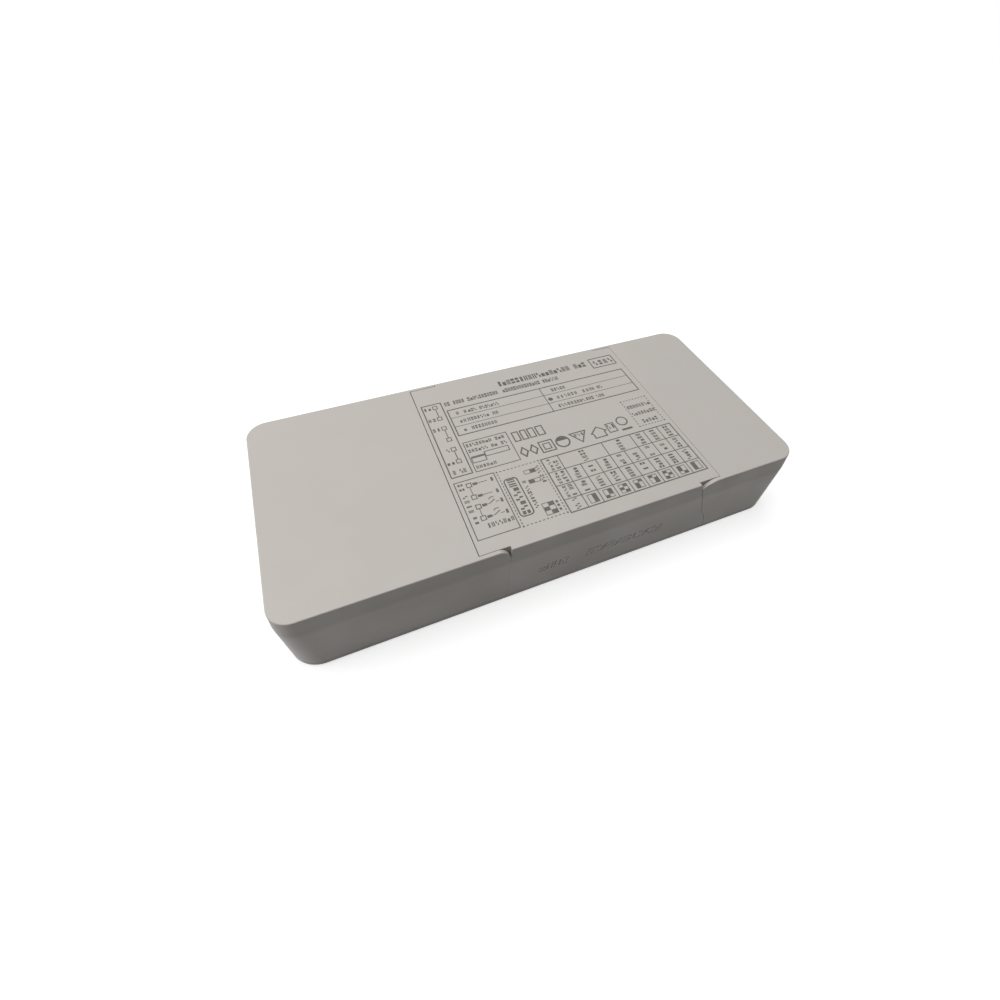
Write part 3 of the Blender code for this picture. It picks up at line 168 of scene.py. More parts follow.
def makeFinish(name, look):
    made, tree, shader, place = startMaterial(name)
    level = add(tree, "ShaderNodeSeparateXYZ", {0: place}).outputs[2]
    if "stretch" in look:
        place = add(tree, "ShaderNodeMapping", {"Vector": place, "Scale": look["stretch"]}).outputs[0]
    blotch = noise(tree, place, look["blotch"], noiseDetail["blotch"])
    grain = noise(tree, place, look["grain"], noiseDetail["grain"])
    colour = blendColour(tree, ramp(tree, blotch, *noiseEnds["blotch"]), look["colour"], look["shade"])
    specks = ramp(tree, grain, *noiseEnds["grain"], 0.0, look["speckle"])
    colour = blendColour(tree, specks, colour, look["speck"])
    # painted highlight and painted shade, mixed into the colour in bands by height
    for low, high, fade, share, paintedTint in look.get("paintedLightBands", ()):
        amount = maths(tree, "MULTIPLY", between(tree, level, low, high, fade), share)
        colour = blendColour(tree, amount, colour, paintedTint)
    tree.links.new(colour, shader.inputs["Base Color"])
    patches = noise(tree, place, look["blotch"] / 3)
    tree.links.new(ramp(tree, patches, *noiseEnds["wide"], *look["rough"]), shader.inputs["Roughness"])
    tree.links.new(bump(tree, grain, look["depth"]), shader.inputs["Normal"])
    for socket, value in look.get("shader", {}).items():
        shader.inputs[socket].default_value = value
    return made


def rubbed(look):  # the same finish where an edge has been rubbed smooth
    worn = dict(look)
    paler = edgeWear["paler"]
    worn["colour"] = tuple(c + (1 - c) * paler for c in look["colour"])
    worn["shade"] = tuple(c + (1 - c) * paler * edgeWear["shade"] for c in look["shade"])
    worn["rough"] = tuple(r * edgeWear["rough"] for r in look["rough"])
    worn["depth"] = look["depth"] * edgeWear["depth"]
    return worn


looks = {
    "case_plastic": {
        "colour": (0.612, 0.576, 0.534), "shade": (0.585, 0.554, 0.518), "speck": (0.50, 0.47, 0.43),
        "blotch": 34.0, "grain": 0.34, "speckle": 0.30, "rough": (0.50, 0.60), "depth": 0.010,
        "paintedLightBands": ((24.55, 24.72, 0.06, 0.35, (0.72, 0.69, 0.65)),     # painted highlight along the rounded top edge
                  (19.5, 24.2, 2.4, 0.78, (0.46, 0.43, 0.40)),        # painted shade in a band below that edge
                  (0.0, 1.0, 1.8, 0.80, (0.36, 0.34, 0.32)))},        # painted contact shadow along the foot
    "tray_plastic": {
        "colour": (0.560, 0.540, 0.505), "shade": (0.535, 0.515, 0.480), "speck": (0.46, 0.44, 0.41),
        "blotch": 22.0, "grain": 0.42, "speckle": 0.35, "rough": (0.52, 0.64), "depth": 0.016},
    "insulation_film": {
        "colour": (0.74, 0.73, 0.67), "shade": (0.70, 0.69, 0.62), "speck": (0.80, 0.79, 0.74),
        "blotch": 9.0, "grain": 0.9, "speckle": 0.2, "rough": (0.22, 0.38), "depth": 0.006},
    "zinc_plated_steel": {
        "colour": (0.66, 0.67, 0.68), "shade": (0.56, 0.57, 0.60), "speck": (0.74, 0.73, 0.70),
        "blotch": 1.4, "grain": 0.12, "speckle": 0.4, "rough": (0.24, 0.40), "depth": 0.004,
        "shader": {"Metallic": 1.0}},
    "tinned_copper": {
        "colour": (0.74, 0.73, 0.71), "shade": (0.66, 0.62, 0.57), "speck": (0.80, 0.79, 0.77),
        "blotch": 1.8, "grain": 0.15, "speckle": 0.3, "rough": (0.22, 0.42), "depth": 0.004,
        "shader": {"Metallic": 1.0}},
    "plain_aluminium": {
        "colour": (0.76, 0.76, 0.77), "shade": (0.69, 0.69, 0.71), "speck": (0.62, 0.62, 0.64),
        "blotch": 3.0, "grain": 0.2, "speckle": 0.5, "rough": (0.30, 0.46), "depth": 0.006,
        "stretch": (0.08, 1.0, 1.0), "shader": {"Metallic": 1.0}},
    "ferrite": {
        "colour": (0.052, 0.052, 0.057), "shade": (0.040, 0.040, 0.044), "speck": (0.11, 0.11, 0.12),
        "blotch": 2.4, "grain": 0.16, "speckle": 0.5, "rough": (0.42, 0.62), "depth": 0.010},
    "enamelled_copper": {
        "colour": (0.60, 0.21, 0.07), "shade": (0.46, 0.14, 0.04), "speck": (0.70, 0.30, 0.12),
        "blotch": 1.6, "grain": 0.3, "speckle": 0.3, "rough": (0.18, 0.30), "depth": 0.003,
        "shader": {"Metallic": 0.75, "Coat Weight": 0.6, "Coat Roughness": 0.12}},
    "black_moulding": {
        "colour": (0.026, 0.026, 0.028), "shade": (0.034, 0.034, 0.037), "speck": (0.06, 0.06, 0.065),
        "blotch": 3.0, "grain": 0.14, "speckle": 0.4, "rough": (0.45, 0.60), "depth": 0.006},
    "terminal_moulding": {
        "colour": (0.70, 0.69, 0.655), "shade": (0.665, 0.655, 0.615), "speck": (0.60, 0.59, 0.55),
        "blotch": 6.0, "grain": 0.2, "speckle": 0.25, "rough": (0.36, 0.48), "depth": 0.005},
    "film_capacitor_case": {
        "colour": (0.40, 0.41, 0.43), "shade": (0.36, 0.37, 0.39), "speck": (0.48, 0.49, 0.50),
        "blotch": 5.0, "grain": 0.2, "speckle": 0.3, "rough": (0.36, 0.50), "depth": 0.006},
    "mains_capacitor_case": {
        "colour": (0.78, 0.56, 0.09), "shade": (0.72, 0.50, 0.07), "speck": (0.84, 0.64, 0.16),
        "blotch": 5.0, "grain": 0.2, "speckle": 0.3, "rough": (0.32, 0.46), "depth": 0.006},
    "disc_coating": {
        "colour": (0.045, 0.16, 0.46), "shade": (0.035, 0.13, 0.38), "speck": (0.08, 0.22, 0.55),
        "blotch": 2.6, "grain": 0.5, "speckle": 0.3, "rough": (0.22, 0.40), "depth": 0.020},
    "disc_coating_orange": {
        "colour": (0.72, 0.27, 0.045), "shade": (0.62, 0.22, 0.035), "speck": (0.80, 0.36, 0.08),
        "blotch": 2.6, "grain": 0.5, "speckle": 0.3, "rough": (0.22, 0.40), "depth": 0.020},
    "switch_body": {
        "colour": (0.46, 0.035, 0.025), "shade": (0.40, 0.03, 0.02), "speck": (0.55, 0.06, 0.05),
        "blotch": 3.0, "grain": 0.2, "speckle": 0.25, "rough": (0.30, 0.42), "depth": 0.005},
    "label_ink": {
        "colour": (0.074, 0.064, 0.056), "shade": (0.110, 0.098, 0.086), "speck": (0.21, 0.19, 0.17),
        "blotch": 2.5, "grain": 0.22, "speckle": 0.45, "rough": (0.45, 0.62), "depth": 0.003},
    "mark_ink": {
        "colour": (0.115, 0.11, 0.105), "shade": (0.17, 0.16, 0.15), "speck": (0.28, 0.27, 0.25),
        "blotch": 1.5, "grain": 0.2, "speckle": 0.5, "rough": (0.50, 0.62), "depth": 0.003},
}
finishes = {name: makeFinish(name, look) for name, look in looks.items()}
edges = {name: makeFinish(name + "_edge", rubbed(look)) for name, look in looks.items()}


def copperGaps(tree, place, look, area):  # 1 between square-cut areas of copper
    width, height, gap = area
    return add(tree, "ShaderNodeTexBrick", {"Vector": place, "Scale": 1 / mm, "Mortar Size": gap / 2,
               "Mortar Smooth": look["blur"], "Brick Width": width, "Row Height": height},
               **look["cut"]).outputs["Fac"]


def makeLaminate(look):  # solder mask over copper areas, with the glass weave under it
    made, tree, shader, place = startMaterial("board_laminate")
    gaps = maths(tree, "MAXIMUM", *(copperGaps(tree, place, look, area) for area in look["areas"]))
    bundles = ramp(tree, noise(tree, place, look["bundle"], 1.0), *look["bundleEnds"])
    tracks = maths(tree, "MULTIPLY", copperGaps(tree, place, look, look["tracks"]), bundles)
    copper = maths(tree, "SUBTRACT", 1.0, maths(tree, "MAXIMUM", gaps, tracks))
    weave = add(tree, "ShaderNodeTexWave", {"Vector": place, "Scale": 1 / (look["weave"] * mm),
                "Distortion": look["distortion"]}).outputs["Fac"]
    blotch = noise(tree, place, look["blotch"])
    colour = blendColour(tree, copper, look["mask"], look["overCopper"])
    shaded = ramp(tree, blotch, *noiseEnds["wide"], 0.0, look["shadeShare"])
    colour = blendColour(tree, shaded, colour, look["shade"])
    colour = blendColour(tree, maths(tree, "MULTIPLY", weave, look["glassShare"]), colour, look["glass"])
    tree.links.new(colour, shader.inputs["Base Color"])
    tree.links.new(ramp(tree, blotch, *noiseEnds["wide"], *look["rough"]), shader.inputs["Roughness"])
    lift = bump(tree, copper, look["copperHeight"])
    tree.links.new(bump(tree, weave, look["weaveHeight"], lift), shader.inputs["Normal"])
    return made


def makeTape(look):  # layers of polyester tape with their overlapping edges
    made, tree, shader, place = startMaterial("winding_tape")
    layers = add(tree, "ShaderNodeTexWave", {"Vector": place, "Scale": 1 / (look["layer"] * mm),
                 "Distortion": look["distortion"], "Detail": look["detail"]},
                 bands_direction="DIAGONAL").outputs["Fac"]
    blotch = noise(tree, place, look["blotch"])
    colour = blendColour(tree, ramp(tree, layers, *look["layerEnds"]), look["colour"], look["shade"])
    colour = blendColour(tree, ramp(tree, blotch, *look["wireEnds"]), colour, look["wire"])
    tree.links.new(colour, shader.inputs["Base Color"])
    tree.links.new(ramp(tree, blotch, *noiseEnds["wide"], *look["rough"]), shader.inputs["Roughness"])
    tree.links.new(bump(tree, layers, look["depth"]), shader.inputs["Normal"])
    return made


def makeSleeve(name, look, centre, axis):  # shrunk sleeve with a pale stripe down one side
    made, tree, shader, place = startMaterial(name)
    local = add(tree, "ShaderNodeVectorMath", {0: place, 1: centre}, operation="SUBTRACT").outputs[0]
    split = add(tree, "ShaderNodeSeparateXYZ", {0: local})
    first = 0 if axis == "Z" else 1
    turn = maths(tree, "ARCTAN2", split.outputs[first + 1], split.outputs[first])
    away = maths(tree, "ABSOLUTE", maths(tree, "SUBTRACT", turn, look["stripeTurn"]))
    stripe = ramp(tree, away, *look["stripeEnds"], 1.0, 0.0)
    blotch = noise(tree, place, look["blotch"])
    grain = noise(tree, place, look["grain"], noiseDetail["grain"])
    colour = blendColour(tree, ramp(tree, blotch, *noiseEnds["wide"]), look["colour"], look["shade"])
    colour = blendColour(tree, stripe, colour, look["stripe"])
    tree.links.new(colour, shader.inputs["Base Color"])
    tree.links.new(ramp(tree, blotch, *noiseEnds["wide"], *look["rough"]), shader.inputs["Roughness"])
    tree.links.new(bump(tree, grain, look["depth"]), shader.inputs["Normal"])
    return made


laminateLook = {
    "mask": (0.030, 0.115, 0.050), "overCopper": (0.050, 0.200, 0.085), "shade": (0.040, 0.150, 0.060),
    "glass": (0.16, 0.26, 0.12), "shadeShare": 0.5, "glassShare": 0.12, "blotch": 14.0,
    "weave": 0.5, "distortion": 0.6, "weaveHeight": 0.004, "copperHeight": 0.035, "rough": (0.28, 0.42),
    "areas": ((13.0, 5.5, 0.4), (4.7, 17.0, 0.35)),        # width, height and gap of each pattern
    "tracks": (26.0, 0.9, 0.35), "bundle": 7.0, "bundleEnds": (0.52, 0.54),
    "blur": 0.3, "cut": {"offset": 0.37, "squash": 1.7, "squash_frequency": 3},
}
tapeLook = {
    "colour": (0.80, 0.60, 0.08), "shade": (0.70, 0.50, 0.05), "wire": (0.55, 0.26, 0.06),
    "layer": 3.2, "layerEnds": (0.4, 0.6, 0.0, 0.7), "wireEnds": (0.45, 0.7, 0.0, 0.4),
    "distortion": 1.5, "detail": 2.0, "blotch": 4.0, "rough": (0.24, 0.40), "depth": 0.03,
}
sleeveLook = {
    "colour": (0.030, 0.036, 0.065), "shade": (0.042, 0.050, 0.085), "stripe": (0.60, 0.61, 0.62),
    "stripeTurn": 0.9, "stripeEnds": (0.32, 0.36), "blotch": 3.0, "grain": 0.25, "rough": (0.20, 0.34),
    "depth": 0.006,
}
finishes["board_laminate"] = makeLaminate(laminateLook)
finishes["winding_tape"] = edges["winding_tape"] = makeTape(tapeLook)
for can, axis in (("bulk_capacitor", "X"), ("output_capacitor_1", "Z"), ("output_capacitor_2", "Z")):
    low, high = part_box(can)
    finishes[can] = edges[can] = makeSleeve("sleeve_" + can, sleeveLook, (low + high) / 2, axis)
print("finishes made:", len(finishes))


# skins: each moulded or cut piece is shown by a copy with its edges rounded and rubbed

skinSetup = {
    "sharp": math.radians(36), "segments": 2, "weld": 0.0005, "join": 0.002, "flat": math.radians(0.4),
    "round": {"case_plastic": 0.06, "tray_plastic": 0.14, "terminal_moulding": 0.12, "switch_body": 0.1,
              "ferrite": 0.18, "black_moulding": 0.1, "film_capacitor_case": 0.12,
              "mains_capacitor_case": 0.12, "plain_aluminium": 0.1, "tinned_copper": 0.05},
    "plain": ("circuit_board", "insulation_sheet", "choke_coil_1", "choke_coil_2"),
}


def linked(name, mesh):
    piece = bpy.data.objects.new(name, mesh)
    bpy.context.scene.collection.objects.link(piece)
    return piece


def applied(piece):  # the finished mesh in place of the modifiers
    graph = bpy.context.evaluated_depsgraph_get()
    mesh = bpy.data.meshes.new_from_object(piece.evaluated_get(graph), depsgraph=graph)
    piece.modifiers.clear()
    piece.data = mesh
    return piece


def combine(piece, tool, operation):
    other = linked("tool", tool)
    change = piece.modifiers.new("combine", "BOOLEAN")
    change.object = other
    change.operation = operation
    change.solver = "EXACT"
    applied(piece)
    bpy.data.objects.remove(other)


def cleaned(mesh):  # loose triangles joined, flat ones merged, all faces outwards
    shape = bmesh.new()
    shape.from_mesh(mesh)
    bmesh.ops.remove_doubles(shape, verts=shape.verts, dist=skinSetup["join"] * mm)
    bmesh.ops.dissolve_limit(shape, angle_limit=skinSetup["flat"], verts=shape.verts, edges=shape.edges)
    bmesh.ops.recalc_face_normals(shape, faces=shape.faces)
    shape.to_mesh(mesh)
    shape.free()
    return mesh


def merged(name):
    return cleaned(nodes[name].data.copy())


def skin(name, mesh):
    slot = slotOf[name]
    mesh.materials.clear()
    mesh.materials.append(finishes.get(name, finishes.get(slot)))
    mesh.materials.append(edges.get(name, edges.get(slot)))
    mesh.shade_smooth()
    mesh.set_sharp_from_angle(angle=skinSetup["sharp"])
    piece = linked(name + "_skin", mesh)
    if slot in skinSetup["round"]:
        bevel = piece.modifiers.new("round", "BEVEL")
        bevel.width = skinSetup["round"][slot] * mm
        bevel.segments = skinSetup["segments"]
        bevel.limit_method = "ANGLE"
        bevel.angle_limit = skinSetup["sharp"]
        bevel.material = 1
        piece.modifiers.new("weld", "WELD").merge_threshold = skinSetup["weld"] * mm
        piece.modifiers.new("normals", "WEIGHTED_NORMAL").keep_sharp = True
        applied(piece)
    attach(piece, nodes[name]["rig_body"])
    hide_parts(name)


screwNodes = [f"clamp_screw_{i}" for i in range(1, 5)] + ["board_screw_1", "board_screw_2"]
shells = ("label_housing", "primary_cover", "secondary_cover")
for name in nodes:
    if name in skinSetup["plain"]:
        nodes[name].data.materials.clear()
        nodes[name].data.materials.append(finishes[slotOf[name]])
    elif "screw" not in name and name not in shells:
        skin(name, merged(name))
print("skins made")


# case shells: a new outside with a crisp top edge and closer seams, round the frame's own inside

halfX, halfY, caseTop = (side / mm for side in cadBounds[1])
shellForm = {
    "edge": 0.32, "edgeSteps": 6, "corner": 5.9, "footCorner": 8.4, "cornerSteps": 12,
    "endDraft": 1.1, "sideDraft": 0.28, "straight": 5.8, "foot": 0.6,
    "wall": 1.5, "top": 1.6, "thinner": 0.2, "kept": 0.7,   # what is kept of the frame's walls
    "earSkin": 1.2, "jogLevel": 9.5, "jogDrop": 0.7, "past": 2.0, "tipSteps": 12, "tipDepth": 0.3,
    "entryRadius": 4.62, "entryLevel": 6.9, "entrySteps": 24, "entryDepth": 0.4, "printDepth": 0.02,
}
shellEnds = {
    "primary_cover": {"sign": -1, "seam": 27.2, "tip": 18.5, "lean": 1.5, "jog": 0.0,
                      "nearTip": (3.5, 5.3), "farTip": (0.8, 0.8), "entries": (-12.02, 12.02),
                      "gaps": {"seam": 0.24, "ear": 0.16, "wall": 0.03}},
    "secondary_cover": {"sign": 1, "seam": 49.3, "tip": 42.0, "lean": 17.0, "jog": 1.0,
                        "nearTip": (6.8, 4.6), "farTip": (0.8, 0.8), "entries": (0.0,),
                        "gaps": {"seam": 0.10, "ear": 0.16, "wall": 0.13}},
}


def solid(rings):  # a closed body through rings of equal count, in mm
    shape = bmesh.new()
    loops = [[shape.verts.new(Vector(point) * mm) for point in ring] for ring in rings]
    shape.faces.new(loops[0])
    shape.faces.new(loops[-1])
    for under, upper in zip(loops, loops[1:]):
        for i in range(len(under)):
            shape.faces.new((under[i - 1], under[i], upper[i], upper[i - 1]))
    bmesh.ops.recalc_face_normals(shape, faces=shape.faces)
    mesh = bpy.data.meshes.new("solid")
    shape.to_mesh(mesh)
    shape.free()
    return mesh


def slab(outline, axis, low, high):  # an outline drawn out along one axis
    turned = {"X": (2, 0, 1), "Y": (0, 2, 1), "Z": (0, 1, 2)}[axis]
    return solid([[[(a, b, level)[i] for i in turned] for a, b in outline] for level in (low, high)])


def plan(reachX, reachY, corner):  # a rectangle with round corners, seen from above
    points = []
    for quarter, (sx, sy) in enumerate(((1, 1), (-1, 1), (-1, -1), (1, -1))):
        for step in range(shellForm["cornerSteps"] + 1):
            turn = math.pi / 2 * (quarter + step / shellForm["cornerSteps"])
            points.append((sx * (reachX - corner) + corner * math.cos(turn),
                           sy * (reachY - corner) + corner * math.sin(turn)))
    return points


def outside(top):  # the case's outer form up to a level
    f = shellForm
    band = caseTop - f["straight"]
    share = (band - f["foot"]) / band
    sections = [(f["foot"], f["endDraft"] * share, f["sideDraft"] * share,
                 f["corner"] + (f["footCorner"] - f["corner"]) * share), (band, 0, 0, f["corner"])]
    for step in range(f["edgeSteps"] + 1):
        turn = math.pi / 2 * step / f["edgeSteps"]
        inset = f["edge"] * (1 - math.cos(turn))
        sections.append((top - f["edge"] * (1 - math.sin(turn)), inset, inset, f["corner"] - inset))
    return solid([[(x, y, level) for x, y in plan(halfX - end, halfY - side, corner)]
                  for level, end, side, corner in sections])


def inside(extra):  # the room in the case, made larger by extra all round
    f = shellForm
    outline = plan(halfX - f["endDraft"] - f["wall"] + extra, halfY - f["sideDraft"] - f["wall"] + extra,
                   f["footCorner"] - f["wall"] + extra)
    return slab(outline, "Z", -f["past"], caseTop - f["top"] + extra)


def beyondSeam(end, side):  # a cover's side of its seam: side is 1 for the cover, -1 for the label housing
    f = shellForm
    shift = {place: side * gap / 2 for place, gap in end["gaps"].items()}
    slope = math.tan(math.radians(end["lean"]))
    atJog = end["tip"] + slope * (caseTop - f["jogLevel"])
    low = atJog + end["jog"] + slope * (f["jogLevel"] - f["jogDrop"] + f["past"])
    line = [(end["tip"] - slope * f["past"], caseTop + f["past"]), (atJog, f["jogLevel"]),
            (atJog + end["jog"], f["jogLevel"] - f["jogDrop"]), (low, -f["past"])]
    strip = [(x + shift["wall"], z) for x, z in line] + [(x + 2 * halfX, z) for x, z in reversed(line)]
    strip = [(end["sign"] * x, z) for x, z in strip]
    seam = end["seam"] + shift["seam"]
    middle = [(end["sign"] * x, y) for x, y in ((seam, -halfY * 2), (halfX * 3, -halfY * 2),
                                                (halfX * 3, halfY * 2), (seam, halfY * 2))]
    region = linked("region", slab(middle, "Z", -2 * f["past"], caseTop + 2 * f["past"]))
    face = halfY - f["earSkin"] + shift["ear"]
    for low, high in ((-halfY * 3, -face), (face, halfY * 3)):
        combine(region, slab(strip, "Y", low, high), "UNION")
    mesh = region.data
    bpy.data.objects.remove(region)
    return mesh


def earTips(end):  # what is taken off to round the upper corner of each ear
    f = shellForm
    for side, (along, down) in ((-1, end["nearTip"]), (1, end["farTip"])):
        turns = [math.pi / 2 * step / f["tipSteps"] for step in range(f["tipSteps"] + 1)]
        arc = [(end["tip"] + along * (1 - math.cos(t)), caseTop - down * (1 - math.sin(t))) for t in turns]
        outline = [(end["tip"] - f["past"], caseTop + f["past"]), (end["tip"] - f["past"], caseTop - down)]
        outline += arc + [(end["tip"] + along, caseTop + f["past"])]
        across = sorted((side * (halfY - f["earSkin"] - f["tipDepth"]), side * (halfY + f["past"])))
        yield slab([(end["sign"] * x, z) for x, z in outline], "Y", *across)


def entryArch(end, y):
    f = shellForm
    arch = [(y + f["entryRadius"] * math.cos(t), f["entryLevel"] + f["entryRadius"] * math.sin(t))
            for t in (math.pi * step / f["entrySteps"] for step in range(f["entrySteps"] + 1))]
    arch += [(y - f["entryRadius"], -f["past"]), (y + f["entryRadius"], -f["past"])]
    start = halfX - f["endDraft"] - f["wall"] - f["entryDepth"]
    return slab(arch, "X", *sorted((end["sign"] * start, end["sign"] * (halfX + f["past"]))))


def shellSkin(name):
    top = caseTop - (shellForm["printDepth"] if name == "label_housing" else 0.0)
    shell = linked(name, outside(top))
    combine(shell, inside(shellForm["thinner"]), "DIFFERENCE")
    if name in shellEnds:
        end = shellEnds[name]
        combine(shell, beyondSeam(end, 1), "INTERSECT")
        for cutter in earTips(end):
            combine(shell, cutter, "DIFFERENCE")
    else:
        for end in shellEnds.values():
            combine(shell, beyondSeam(end, -1), "DIFFERENCE")
    own = linked("own", merged(name))
    combine(own, inside(shellForm["kept"]), "INTERSECT")
    combine(shell, own.data, "UNION")
    bpy.data.objects.remove(own)
    if name in shellEnds:
        for y in shellEnds[name]["entries"]:
            combine(shell, entryArch(shellEnds[name], y), "DIFFERENCE")
    mesh = shell.data
    bpy.data.objects.remove(shell)
    return cleaned(mesh)


for name in shells:
    skin(name, shellSkin(name))
print("case shells made")


# geometry node trees for what repeats

def newTree(name, sockets):
    tree = bpy.data.node_groups.new(name, "GeometryNodeTree")
    tree.interface.new_socket("Geometry", in_out="OUTPUT", socket_type="NodeSocketGeometry")
    tree.interface.new_socket("Geometry", in_out="INPUT", socket_type="NodeSocketGeometry")
    for socket, kind in sockets.items():
        tree.interface.new_socket(socket, in_out="INPUT", socket_type="NodeSocket" + kind)
    return tree, tree.nodes.new("NodeGroupInput"), tree.nodes.new("NodeGroupOutput")


def closeTree(tree, start, end, instances):
    real = add(tree, "GeometryNodeRealizeInstances", {"Geometry": instances}).outputs[0]
    done = add(tree, "GeometryNodeSetMaterial", {"Geometry": real, "Material": start.outputs["Material"]})
    tree.links.new(done.outputs[0], end.inputs[0])


def chanceOf(tree, seed, low=0.0, high=1.0):
    node = add(tree, "FunctionNodeRandomValue", {2: low, 3: high, "Seed": seed}, data_type="FLOAT")
    return node.outputs[1]


def sunk(tree, points, chance, amount):  # points let down by up to amount, so that no two prints are level
    drop = maths(tree, "MULTIPLY", maths(tree, "MULTIPLY", chance, amount), -1.0)
    shift = add(tree, "ShaderNodeCombineXYZ", {2: drop}).outputs[0]
    return add(tree, "GeometryNodeSetPosition", {"Geometry": points, "Offset": shift}).outputs[0]


def heading(tree, along):  # the turn about Z that lays X along a direction
    split = add(tree, "ShaderNodeSeparateXYZ", {0: along})
    turn = maths(tree, "ARCTAN2", split.outputs[1], split.outputs[0])
    return add(tree, "ShaderNodeCombineXYZ", {2: turn}).outputs[0]


def grow(name, mesh, tree, values):  # runs a tree on a mesh and returns the plain result
    carrier = linked(name, mesh)
    modifier = carrier.modifiers.new("grow", "NODES")
    modifier.node_group = tree
    for item in tree.interface.items_tree:
        if item.in_out == "INPUT" and item.name in values:
            modifier[item.identifier] = values[item.name]
    graph = bpy.context.evaluated_depsgraph_get()
    result = bpy.data.meshes.new_from_object(carrier.evaluated_get(graph), depsgraph=graph)
    bpy.data.objects.remove(carrier)
    return result


def makeStrokeTree():  # a flat bar at each point, along its "run" and as wide as its "wide"
    tree, start, end = newTree("inkStrokes", {"Thickness": "Float", "Unevenness": "Float", "Seed": "Int",
                                              "Material": "Material"})
    run = add(tree, "GeometryNodeInputNamedAttribute", {"Name": "run"}, data_type="FLOAT_VECTOR").outputs[0]
    wide = add(tree, "GeometryNodeInputNamedAttribute", {"Name": "wide"}, data_type="FLOAT").outputs[0]
    length = add(tree, "ShaderNodeVectorMath", {0: run}, operation="LENGTH").outputs["Value"]
    size = add(tree, "ShaderNodeCombineXYZ", {0: length, 1: wide, 2: start.outputs["Thickness"]}).outputs[0]
    chance = chanceOf(tree, start.outputs["Seed"])
    moved = sunk(tree, start.outputs["Geometry"], chance, start.outputs["Unevenness"])
    bar = add(tree, "GeometryNodeMeshCube", {"Size": (1, 1, 1)}).outputs["Mesh"]
    placed = add(tree, "GeometryNodeInstanceOnPoints", {"Points": moved, "Instance": bar,
                 "Rotation": heading(tree, run), "Scale": size})
    closeTree(tree, start, end, placed.outputs[0])
    return tree


def signs(tree, shapes):  # plain signs as instances, each a few bars in a unit square
    every = add(tree, "GeometryNodeJoinGeometry")
    for bars in shapes:
        one = add(tree, "GeometryNodeJoinGeometry")
        for x0, y0, x1, y1 in bars:
            bar = add(tree, "GeometryNodeMeshCube", {"Size": (x1 - x0, y1 - y0, 1)})
            moved = add(tree, "GeometryNodeTransform", {"Geometry": bar.outputs["Mesh"],
                        "Translation": ((x0 + x1) / 2 - 0.5, (y0 + y1) / 2 - 0.5, 0)})
            tree.links.new(moved.outputs[0], one.inputs[0])
        sign = add(tree, "GeometryNodeGeometryToInstance", {0: one.outputs[0]})
        tree.links.new(sign.outputs[0], every.inputs[0])
    return every.outputs[0]


def makeRowTree(name, shapes):  # signs along each edge, as tall as its "tall", with gaps left at random
    tree, start, end = newTree(name, {"Pitch": "Float", "Gap Share": "Float", "Narrow": "Float",
                                      "Wide": "Float", "Thickness": "Float", "Unevenness": "Float",
                                      "Seed": "Int", "Material": "Material"})
    seed, pitch = start.outputs["Seed"], start.outputs["Pitch"]
    curve = add(tree, "GeometryNodeMeshToCurve", {"Mesh": start.outputs["Geometry"]}).outputs[0]
    points = add(tree, "GeometryNodeCurveToPoints", {"Curve": curve, "Length": pitch}, mode="LENGTH")
    tall = add(tree, "GeometryNodeInputNamedAttribute", {"Name": "tall"}, data_type="FLOAT").outputs[0]
    share = chanceOf(tree, seed, start.outputs["Narrow"], start.outputs["Wide"])
    size = add(tree, "ShaderNodeCombineXYZ", {0: maths(tree, "MULTIPLY", share, pitch), 1: tall,
               2: start.outputs["Thickness"]}).outputs[0]
    pick = add(tree, "FunctionNodeRandomValue", {4: 0, 5: len(shapes) - 1,
               "Seed": maths(tree, "ADD", seed, 1.0)}, data_type="INT").outputs[2]
    chance = chanceOf(tree, maths(tree, "ADD", seed, 2.0))
    kept = maths(tree, "GREATER_THAN", chance, start.outputs["Gap Share"])
    moved = sunk(tree, points.outputs["Points"], chance, start.outputs["Unevenness"])
    placed = add(tree, "GeometryNodeInstanceOnPoints", {"Points": moved, "Selection": kept,
                 "Instance": signs(tree, shapes), "Pick Instance": True, "Instance Index": pick,
                 "Rotation": heading(tree, points.outputs["Tangent"]), "Scale": size})
    closeTree(tree, start, end, placed.outputs[0])
    return tree


wordSigns = (                                              # x0, y0, x1, y1 of each bar
    ((0, 0, 0.38, 1), (0.62, 0, 1, 1)),
    ((0, 0, 0.26, 1), (0.38, 0, 0.62, 1), (0.74, 0, 1, 1)),
    ((0.14, 0, 0.86, 1),),
    ((0, 0.57, 1, 1), (0, 0, 1, 0.40)),
    ((0, 0, 1, 0.70),),
    ((0, 0.52, 0.48, 1), (0.52, 0, 1, 0.48)),
)
strokeTree = makeStrokeTree()
rowTree = makeRowTree("inkRows", wordSigns)
barTree = makeRowTree("inkBars", (((0, 0, 1, 1),),))


# the label: plain shapes in the places of the printing, drawn in mm from the middle of the face

labelPrint = {
    "fine": 0.21, "line": 0.28, "inner": 0.36, "bold": 0.38, "sign": 0.42, "ring": 0.50,   # stroke widths
    "reach": 0.98,                                      # under 1, so that no two shapes share an edge
    "thickness": 0.03, "unevenness": 0.004, "seed": 11, "cornerSteps": 6,
    "small": {"Pitch": 0.98, "Gap Share": 0.07, "Narrow": 0.72, "Wide": 0.86},
    "large": {"Pitch": 1.62, "Gap Share": 0.03, "Narrow": 0.72, "Wide": 0.80},
    "dashes": {"Pitch": 1.12, "Gap Share": -1.0, "Narrow": 0.55, "Wide": 0.56},
}
strokes = []
words = {"small": [], "large": [], "dashes": []}


def stroke(x0, y0, x1, y1, width=labelPrint["line"], cap=True):
    run = Vector((x1 - x0, y1 - y0, 0))
    length = run.length + (width * labelPrint["reach"] if cap else 0.0)
    strokes.append(((x0 + x1) / 2, (y0 + y1) / 2, run.normalized() * length, width))


